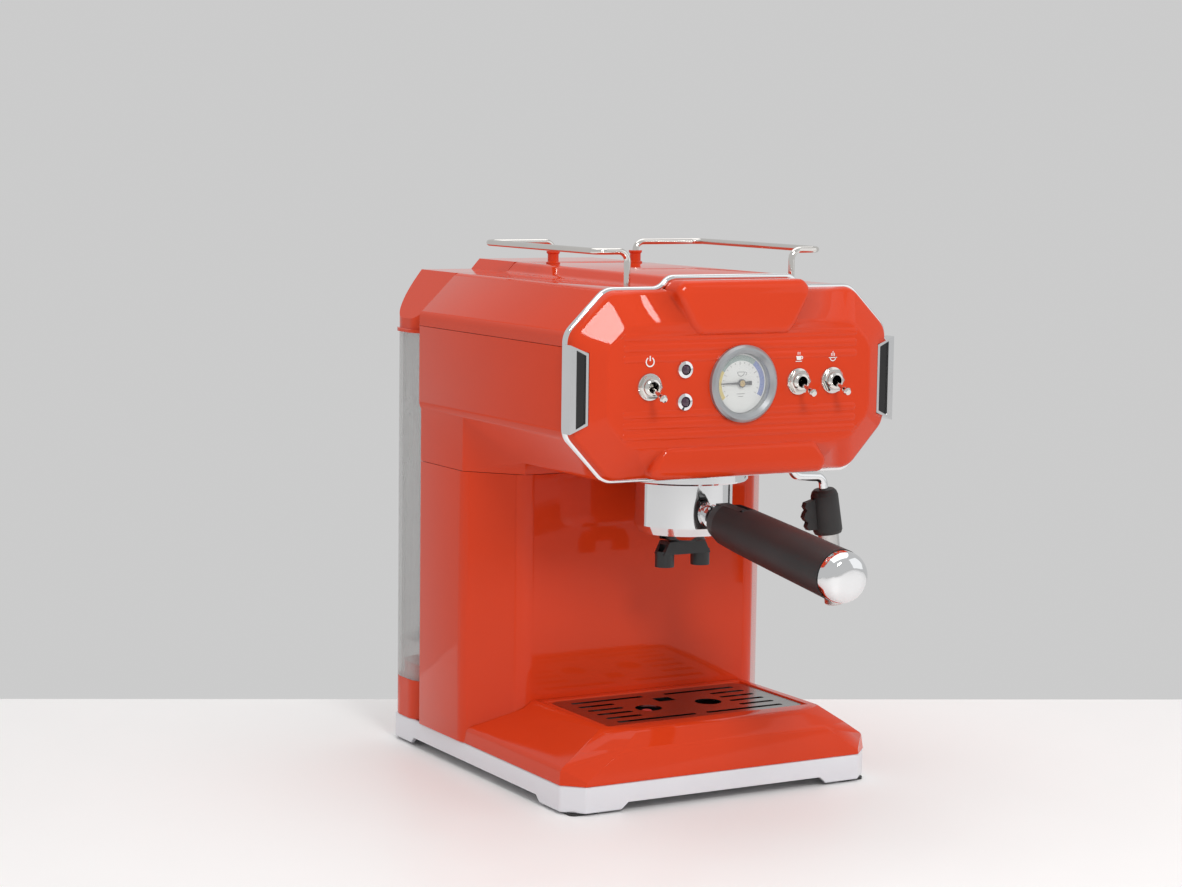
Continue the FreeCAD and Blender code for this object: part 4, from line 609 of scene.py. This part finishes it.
def raised_boss(mesh, foot, face, rise):
    """A trapezoid that stands out of the panel with soft edges."""
    foot, face = outline_mm(foot), outline_mm(face)
    rings = [front_ring(rounded_outline(foot, BOSS_CORNER), RIM_FACE)]
    for step in range(BOSS_STEPS + 1):
        swing = step / BOSS_STEPS * math.pi / 2
        share = 1 - math.cos(swing)
        spots = [a.lerp(b, share) for a, b in zip(foot, face)]
        ahead = CONTROL_FACE - rise + BOSS_SOFT * (1 - math.sin(swing))
        rings.append(front_ring(rounded_outline(spots, BOSS_CORNER), ahead))
    loft(mesh, rings)


def panel_rib(mesh, height, sizes):
    """A long low rib with round ends."""
    half, tall, rise = sizes.rib_half, sizes.rib_tall, sizes.rib_rise
    rings = []
    for inset, ahead in ((0, 1.0 * MM), (0, 0), (0.5 * MM, -0.62 * rise),
                         (1.3 * MM, -0.92 * rise), (2.2 * MM, -rise)):
        box = [Vector((half - inset, height - tall + inset)),
               Vector((half - inset, height + tall - inset)),
               Vector((-half + inset, height + tall - inset)),
               Vector((-half + inset, height - tall + inset))]
        rings.append(front_ring(rounded_outline(box, tall - inset, 6), CONTROL_FACE + ahead))
    loft(mesh, rings)


class ESP_OT_front_panel(bpy.types.Operator):
    """Swelling front panel with its bosses, ribs and gauge hole"""
    bl_idname = "esp.front_panel"
    bl_label = "Front panel"

    def execute(self, context):
        sizes = context.scene.esp_panel
        mesh = bmesh.new()
        loft(mesh, pillow_rings(sizes))
        raised_boss(mesh, NAME_FOOT, NAME_FACE, sizes.boss_rise)
        raised_boss(mesh, CHIN_FOOT, CHIN_FACE, sizes.chin_rise)
        for offset in RIB_OFFSETS:
            panel_rib(mesh, CONTROL_HEIGHT + offset * MM, sizes)
        panel = settle("front_panel", mesh, "Orange gloss", "machine", 38.0)
        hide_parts("fascia")
        for x, height, radius in self.holes(sizes):
            hole = bmesh.new()
            spun(hole, [(0, HOLE_BACK), (radius, HOLE_BACK), (radius, HOLE_FRONT),
                        (0, HOLE_FRONT)], (x, CONTROL_FACE, height), (0, -1, 0), 64)
            cut_away(context, panel, hole)
        for side in (-1, 1):
            cut_away(context, panel, self.notch(side))
        return {"FINISHED"}

    @staticmethod
    def holes(sizes):
        """Place and radius of the holes for gauge, lamps and levers."""
        low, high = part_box("lamp_rings")
        ring = (high.x - low.x) / 2
        lamp = (low.x + high.x) / 2
        return ([(0, CONTROL_HEIGHT, sizes.hole)]
                + [(lamp, height, ring - LAMP_LAP) for height in (low.z + ring, high.z - ring)]
                + [(centre_of(node).x, CONTROL_HEIGHT, TOGGLE_HOLE) for node in LEVERS])

    @staticmethod
    def notch(side):
        """Room in the panel's border for one side frame."""
        low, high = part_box("side_frames")
        inner = high.x - FRAME_WIDE - FRAME_GAP
        outer = high.x + FRAME_SLOPE
        outline = [Vector((side * outer, low.z - FRAME_GAP)),
                   Vector((side * outer, high.z + FRAME_GAP)),
                   Vector((side * inner, high.z - FRAME_SLOPE + FRAME_GAP)),
                   Vector((side * inner, low.z + FRAME_SLOPE - FRAME_GAP))]
        mesh = bmesh.new()
        loft(mesh, [front_ring(outline, RIM_FACE + 2 * MM),
                    front_ring(outline, RIM_FACE + HOLE_BACK)])
        return mesh


# ---------------------------------------------------------------- shells and trim

LONG_EDGE = 14 * MM
CAD_WELD = 2e-6
FLAT, BENT = math.radians(0.6), math.radians(20)


def softened(node, finish, width):
    """A copy of a CAD node whose long outer edges are rounded."""
    mesh = bmesh.new()
    mesh.from_mesh(NODES[node].data)
    bmesh.ops.remove_doubles(mesh, verts=mesh.verts, dist=CAD_WELD)
    bmesh.ops.dissolve_limit(mesh, angle_limit=FLAT, verts=mesh.verts,
                             edges=mesh.edges)
    edges = [edge for edge in mesh.edges
             if edge.is_manifold and edge.is_convex and edge.calc_length() > LONG_EDGE
             and edge.calc_face_angle() > BENT]
    bmesh.ops.bevel(mesh, geom=edges, offset=width, offset_type="OFFSET", segments=3,
                    profile=0.5, affect="EDGES", clamp_overlap=True, material=-1)
    piece = settle(node + "_soft", mesh, finish, "machine", 28.0)
    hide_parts(node)


class ESP_OT_shells(bpy.types.Operator):
    """Shells with soft outer edges, as moulded plastic has"""
    bl_idname = "esp.shells"
    bl_label = "Moulded shells"

    def execute(self, context):
        width = context.scene.esp_panel.edge
        for node in ("head_shell", "top_cover", "column_shell", "tray_housing"):
            softened(node, "Orange gloss", width)
        softened("base_frame", "Silver base", width)
        return {"FINISHED"}


BEAD_WIDE, BEAD_PROUD = 2.6 * MM, 0.8 * MM


class ESP_OT_trim(bpy.types.Operator):
    """Bright rounded bead round the head's front rim"""
    bl_idname = "esp.trim"
    bl_label = "Bright rim"

    def execute(self, context):
        sizes = context.scene.esp_panel
        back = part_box("rim_trim")[1].y
        wide, proud, deep = BEAD_WIDE, BEAD_PROUD, back - RIM_FACE
        outline = mirror_outline(HEAD_OUTLINE + PLATEAU_OUTLINE)
        section = [(-proud, back), (-proud, back - 0.62 * deep),
                   (-0.72 * proud, back - 0.85 * deep), (0, RIM_FACE),
                   (0.45 * wide, RIM_FACE - 0.25 * MM), (0.8 * wide, RIM_FACE),
                   (wide, back - 0.8 * deep), (wide, back)]
        mesh = bmesh.new()
        rings = [front_ring(rounded_outline(drawn_in(outline, inset), sizes.corner), ahead)
                 for inset, ahead in section]
        hoop(mesh, rings)
        piece = settle("rim_bead", mesh, "Bright chrome", "machine", 60.0)
        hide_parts("rim_trim")
        return {"FINISHED"}


# sections as (radius, rise from the panel) in mm
WASHER = ((5.6, 0.1), (8.3, 0.1), (8.0, 1.0), (5.6, 1.2))
NUT_OUTSIDE = ((7.4, 1.1), (7.6, 1.5), (7.6, 3.1), (6.7, 3.7))
NUT_BORE = ((4.95, 3.7), (4.95, 1.1))
NECK_FOOT = ((3.4, -6.0), (4.9, -6.0), (4.9, 3.4))
NECK_LIP = ((4.4, 5.5), (3.5, 5.6), (3.4, 5.5))
CREST, ROOT, FIRST_CREST, PITCH, CRESTS = 5.1, 4.85, 3.8, 0.4, 4
NUT_POINTS = 72


def in_mm(section):
    """A section given in mm, closed on itself."""
    scaled = [(radius * MM, rise * MM) for radius, rise in section]
    return scaled + scaled[:1]


class ESP_OT_bushings(bpy.types.Operator):
    """Washer, six-sided nut and threaded neck round each lever"""
    bl_idname = "esp.bushings"
    bl_label = "Switch bushings"

    def execute(self, context):
        mesh = bmesh.new()
        ahead = (0, -1, 0)
        turns = [math.radians(360 / NUT_POINTS * i) for i in range(NUT_POINTS)]
        circle = [Vector((math.cos(turn), math.sin(turn))) for turn in turns]
        flats = [math.cos(math.pi / 6) / math.cos(turn % (math.pi / 3) - math.pi / 6)
                 for turn in turns]
        hexagon = [spot * flat for spot, flat in zip(circle, flats)]
        thread = []
        for crest in range(CRESTS):
            rise = FIRST_CREST + PITCH * crest
            thread += [(CREST, rise), (ROOT, rise + PITCH / 2)]
        for node in LEVERS:
            where = Vector((centre_of(node).x, CONTROL_FACE, CONTROL_HEIGHT))
            middle = Vector((where.x, where.z))
            spun(mesh, in_mm(WASHER), where, ahead, 48)
            hoop(mesh, [front_ring([middle + spot * reach * MM for spot in shape],
                                   CONTROL_FACE - rise * MM)
                        for shape, rows in ((hexagon, NUT_OUTSIDE), (circle, NUT_BORE))
                        for reach, rise in rows])
            spun(mesh, in_mm((*NECK_FOOT, *thread, *NECK_LIP)), where, ahead, 40)
        piece = settle("switch_nuts", mesh, "Warm chrome", "machine", 30.0)
        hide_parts("switch_bushings")
        return {"FINISHED"}


# the cap's outline as (radius, reach along the handle) in mm
DOME = ((0, 171.1), (14.5, 171.1), (15.2, 171.6), (15.2, 176.5), (13.4, 180.6), (8.6, 183.4),
        (0, 184.4))
DOME_EASE = 3.0 * MM
HANDLE_HEIGHT = 176.5 * MM


class ESP_OT_handle_cap(bpy.types.Operator):
    """Bright dome that closes the handle's end"""
    bl_idname = "esp.handle_cap"
    bl_label = "Handle cap"

    def execute(self, context):
        drop = context.scene.esp_panel.drop
        start = Vector((0, centre_of("group_ring").y, HANDLE_HEIGHT))
        way = (0, -math.cos(drop), -math.sin(drop))
        cap = bmesh.new()
        profile = [(radius * MM, reach * MM) for radius, reach in DOME]
        spun(cap, eased(profile, DOME_EASE, 6), start, way, 64)
        piece = settle("handle_dome", cap, "Bright chrome", "filter_holder", 50.0)
        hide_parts("handle_cap")
        return {"FINISHED"}


# ---------------------------------------------------------------- printed marks

def plate(mesh, outline, ahead, thick):
    """A thin raised print with a given outline of (x, z)."""
    loft(mesh, [front_ring(outline, ahead), front_ring(outline, ahead - thick)])


def arc_band(mesh, middle, inner, outer, start, finish, ahead, thick, steps=24):
    """A thin band along part of a circle; angles run anticlockwise from +X."""
    swings = [start + (finish - start) * step / steps for step in range(steps + 1)]
    rim = [Vector((math.cos(s), math.sin(s))) for s in swings]
    outline = [middle + way * outer for way in rim] + [middle + way * inner
                                                       for way in reversed(rim)]
    plate(mesh, outline, ahead, thick)


def bar(mesh, start, finish, wide, ahead, thick):
    """A thin straight stroke between two points of (x, z)."""
    side = (finish - start).orthogonal().normalized() * (wide / 2)
    plate(mesh, [start - side, finish - side, finish + side, start + side], ahead, thick)


def power_symbol(mesh, middle, sizes, ahead):
    """An open ring with a stroke through its gap."""
    arc_band(mesh, middle, sizes.symbol - sizes.stroke / 2, sizes.symbol + sizes.stroke / 2,
             math.radians(122), math.radians(418), ahead, sizes.thick)
    bar(mesh, middle + Vector((0, 0.2)) * sizes.symbol, middle + Vector((0, 1.3)) * sizes.symbol,
        sizes.stroke, ahead, sizes.thick)


def cup_symbol(mesh, middle, sizes, ahead):
    """A steaming cup on a saucer."""
    unit, line = sizes.symbol, sizes.stroke
    cup = [Vector(spot) * unit + middle for spot in
           ((-0.75, 0.25), (-0.5, -0.65), (0.5, -0.65), (0.75, 0.25))]
    plate(mesh, list(reversed(cup)), ahead, sizes.thick)
    arc_band(mesh, middle + Vector((0.72, -0.12)) * unit, 0.2 * unit, 0.2 * unit + line * 0.7,
             math.radians(-100), math.radians(100), ahead, sizes.thick, 10)
    bar(mesh, middle + Vector((-0.85, -0.95)) * unit, middle + Vector((0.85, -0.95)) * unit,
        line * 0.6, ahead, sizes.thick)
    for side in (-0.25, 0.25):
        bar(mesh, middle + Vector((side, 0.55)) * unit, middle + Vector((side, 1.15)) * unit,
            line * 0.6, ahead, sizes.thick)


def steam_symbol(mesh, middle, sizes, ahead):
    """A bowl with three rising strokes."""
    unit, line = sizes.symbol, sizes.stroke
    arc_band(mesh, middle + Vector((0, -0.35)) * unit, 0.62 * unit, 0.62 * unit + line * 0.8,
             math.radians(180), math.radians(360), ahead, sizes.thick, 14)
    bar(mesh, middle + Vector((-1.1, -0.35)) * unit, middle + Vector((1.1, -0.35)) * unit,
        line * 0.7, ahead, sizes.thick)
    for side in (-0.4, 0.0, 0.4):
        top = 1.1 - abs(side)
        bar(mesh, middle + Vector((side, 0.0)) * unit, middle + Vector((side, top)) * unit,
            line * 0.6, ahead, sizes.thick)


SYMBOL_RISE = 14.8 * MM
TANK_LEVELS = (96 * MM, 240 * MM)
DASH_START, DASH_END, DASH_WIDE = 9 * MM, 22 * MM, 1.2 * MM


class ESP_OT_symbols(bpy.types.Operator):
    """Small plain symbols over the three lever switches"""
    bl_idname = "esp.symbols"
    bl_label = "Switch symbols"

    def execute(self, context):
        sizes = context.scene.esp_print
        mesh = bmesh.new()
        lift = context.scene.esp_panel.rib_rise
        height = CONTROL_HEIGHT + SYMBOL_RISE
        for node, draw in (("power_lever", power_symbol), ("coffee_lever", cup_symbol),
                           ("steam_lever", steam_symbol)):
            draw(mesh, Vector((centre_of(node).x, height)), sizes, CONTROL_FACE - lift)
        settle("switch_symbols", mesh, "Print white", "machine")
        mesh = bmesh.new()
        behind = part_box("water_tank")[1].y
        for level in TANK_LEVELS:
            for side in (-1, 1):
                bar(mesh, Vector((side * DASH_START, level)), Vector((side * DASH_END, level)),
                    DASH_WIDE, behind + sizes.thick, sizes.thick)
        settle("tank_levels", mesh, "Print black", "tank")
        return {"FINISHED"}


# name, finish, and the angles in degrees between which each coloured arc runs
DIAL_ARCS = (("dial_arc_cold", "Dial cold", 150, 218), ("dial_arc_ready", "Dial ready", 52, 150),
             ("dial_arc_hot", "Dial hot", -30, 52))
ARC_INNER, ARC_OUTER = 13.6 * MM, 16.9 * MM
SCALE_START, SCALE_SWEEP = 218, 248
TICK_RIM, TICK_LONG, TICK_SHORT, TICK_WIDE = 13.0, 2.0, 1.2, 0.3 * MM
LINE_WIDE = 0.35 * MM
CUP_RISE = 6.6 * MM
SHORT_LINES = ((-6.4, 2.8), (-8.0, 1.6))
DIAL_BEHIND = 1.9 * MM
HUB = [(0.95 * MM, 0), (1.9 * MM, 0), (1.9 * MM, 0.5 * MM), (0, 0.95 * MM)]


class ESP_OT_dial(bpy.types.Operator):
    """Coloured arc, ticks and a cup mark on the dial, and the needle's brass hub"""
    bl_idname = "esp.dial"
    bl_label = "Gauge dial print"

    def execute(self, context):
        sizes = context.scene.esp_print
        middle = Vector((0, CONTROL_HEIGHT))
        ahead = CONTROL_FACE + DIAL_BEHIND
        for name, finish, start, end in DIAL_ARCS:
            mesh = bmesh.new()
            arc_band(mesh, middle, ARC_INNER, ARC_OUTER, math.radians(start), math.radians(end),
                     ahead, sizes.thick, 20)
            settle(name, mesh, finish, "machine")
        mesh = bmesh.new()
        for step in range(sizes.ticks):
            swing = math.radians(SCALE_START - step * SCALE_SWEEP / (sizes.ticks - 1))
            way = Vector((math.cos(swing), math.sin(swing)))
            long = TICK_LONG if step % 4 == 0 else TICK_SHORT
            bar(mesh, middle + way * (TICK_RIM - long) * MM, middle + way * TICK_RIM * MM,
                TICK_WIDE, ahead, sizes.thick)
        cup = middle + Vector((0, CUP_RISE))
        arc_band(mesh, cup, 2.2 * MM, 2.6 * MM, math.radians(180), math.radians(360), ahead,
                 sizes.thick, 14)
        bar(mesh, cup + Vector((-2.6, 0.15)) * MM, cup + Vector((2.6, 0.15)) * MM, LINE_WIDE,
            ahead, sizes.thick)
        arc_band(mesh, cup + Vector((3.0, -0.9)) * MM, 0.8 * MM, 1.15 * MM, math.radians(-90),
                 math.radians(90), ahead, sizes.thick, 10)
        for low, wide in SHORT_LINES:
            bar(mesh, middle + Vector((-wide, low)) * MM, middle + Vector((wide, low)) * MM,
                LINE_WIDE, ahead, sizes.thick)
        settle("dial_marks", mesh, "Print grey", "machine")
        mesh = bmesh.new()
        spun(mesh, eased(HUB, 0.25 * MM), (0, CONTROL_FACE + 0.02 * MM, CONTROL_HEIGHT),
             (0, -1, 0), 32)
        settle("needle_hub", mesh, "Brass", "needle")
        return {"FINISHED"}


# ---------------------------------------------------------------- studio

# name, place, aim, side of the square in metres, watts, tone
LIGHTS = (
    ("key_light", (-0.254, -1.19, 1.02), (-0.085, -0.128, 0.29), 0.32, 6.6, (1, 0.985, 0.97)),
    ("fill_light", (1.5, -1.2, 0.9), (0, 0, 0.2), 1.4, 3, (0.97, 0.985, 1)),
    ("top_light", (0.1, 0.3, 1.9), (0, 0, 0.1), 2.0, 13, (1, 1, 1)),
)
TABLE_HALF, TABLE_NEAR = 3.0, -1.0
SENSOR_WIDE = 36.0


class ESP_OT_studio(bpy.types.Operator):
    """Table, soft lights and camera"""
    bl_idname = "esp.studio"
    bl_label = "Studio"

    def execute(self, context):
        scene = context.scene
        camera = self.place_camera(scene)
        self.lay_table(scene)
        for name, place, aim, side, power, tone in LIGHTS:
            light = bpy.data.lights.new(name, "AREA")
            light.shape = "RECTANGLE"
            light.size, light.size_y = side, side
            light.energy = power
            light.color = tone
            lamp = bpy.data.objects.new(name, light)
            aim_way = Vector(aim) - Vector(place)
            lamp.rotation_mode = "QUATERNION"
            lamp.rotation_quaternion = aim_way.to_track_quat("-Z", "Y")
            lamp.location = place
            scene.collection.objects.link(lamp)
        world = bpy.data.worlds.new("studio")
        world.use_nodes = True
        back = world.node_tree.nodes["Background"]
        back.inputs["Color"].default_value = (*scene.esp_colours.wall, 1)
        back.inputs["Strength"].default_value = 1.0
        scene.world = world
        scene.view_settings.view_transform = "Standard"
        scene.camera = camera
        return {"FINISHED"}

    @staticmethod
    def place_camera(scene):
        """The camera at its place, with yaw, pitch and roll."""
        view = scene.esp_studio
        data = bpy.data.cameras.new("camera")
        data.lens = view.lens
        data.sensor_width = SENSOR_WIDE
        data.clip_start, data.clip_end = 0.05, 50
        ahead = Vector((math.sin(view.yaw) * math.cos(view.pitch),
                        math.cos(view.yaw) * math.cos(view.pitch), -math.sin(view.pitch)))
        level = Vector((math.cos(view.yaw), -math.sin(view.yaw), 0))
        upright = level.cross(ahead)
        right = level * math.cos(view.roll) + upright * math.sin(view.roll)
        up = upright * math.cos(view.roll) - level * math.sin(view.roll)
        camera = bpy.data.objects.new("camera", data)
        turn = Matrix((right, up, -ahead)).transposed().to_4x4()
        camera.matrix_world = Matrix.Translation(Vector(view.spot)) @ turn
        scene.collection.objects.link(camera)
        return camera

    @staticmethod
    def lay_table(scene):
        """A wide table whose far edge runs level across the view."""
        view = scene.esp_studio
        ahead = Vector((math.sin(view.yaw), math.cos(view.yaw), 0))
        side = Vector((ahead.y, -ahead.x, 0))
        foot = Vector((view.spot[0], view.spot[1], 0))
        mesh = bmesh.new()
        slant = view.skew * TABLE_HALF
        corners = [foot + ahead * reach + side * across
                   for reach, across in ((TABLE_NEAR, -TABLE_HALF), (TABLE_NEAR, TABLE_HALF),
                                         (view.table + slant, TABLE_HALF),
                                         (view.table - slant, -TABLE_HALF))]
        mesh.faces.new([mesh.verts.new(corner) for corner in corners])
        data = bpy.data.meshes.new("table")
        mesh.to_mesh(data)
        mesh.free()
        table = bpy.data.objects.new("table", data)
        finish = Finish("Table top").tint(scene.esp_colours.floor, 0.01, 3.0).handled(0.4, 0.5)
        data.materials.append(finish.made)
        scene.collection.objects.link(table)


# ---------------------------------------------------------------- finishes

class ESP_OT_finishes(bpy.types.Operator):
    """Shader groups, finishes, and the paint of every carried-over part"""
    bl_idname = "esp.finishes"
    bl_label = "Finishes"

    def execute(self, context):
        build_tinted()
        build_handling()
        build_grain()
        for name, stretch in BRUSHINGS.items():
            build_brushing(name, stretch)
        make_finishes(context.scene.esp_colours)
        paint_nodes()
        return {"FINISHED"}


# ---------------------------------------------------------------- add-on

STEPS = (ESP_OT_finishes, ESP_OT_shells, ESP_OT_trim, ESP_OT_front_panel, ESP_OT_bushings,
         ESP_OT_handle_cap, ESP_OT_symbols, ESP_OT_dial, ESP_OT_studio)


class ESP_PT_panel(bpy.types.Panel):
    """Sizes, colours and the building steps"""
    bl_label = "Espresso machine"
    bl_idname = "ESP_PT_panel"
    bl_space_type = "VIEW_3D"
    bl_region_type = "UI"
    bl_category = "Espresso"

    def draw(self, context):
        for group, kind in GROUPS.items():
            box = self.layout.box()
            for label in kind.__annotations__:
                box.prop(getattr(context.scene, group), label)
        for step in STEPS:
            self.layout.operator(step.bl_idname)


CLASSES = (*GROUPS.values(), *STEPS, ESP_PT_panel)


def register():
    for made in CLASSES:
        bpy.utils.register_class(made)
    for name, kind in GROUPS.items():
        setattr(bpy.types.Scene, name, PointerProperty(type=kind))


def unregister():
    for name in GROUPS:
        delattr(bpy.types.Scene, name)
    for made in reversed(CLASSES):
        bpy.utils.unregister_class(made)


def main():
    """Build everything."""
    register()
    for step in STEPS:
        family, word = step.bl_idname.split(".")
        getattr(getattr(bpy.ops, family), word)()


if __name__ == "__main__":
    main()
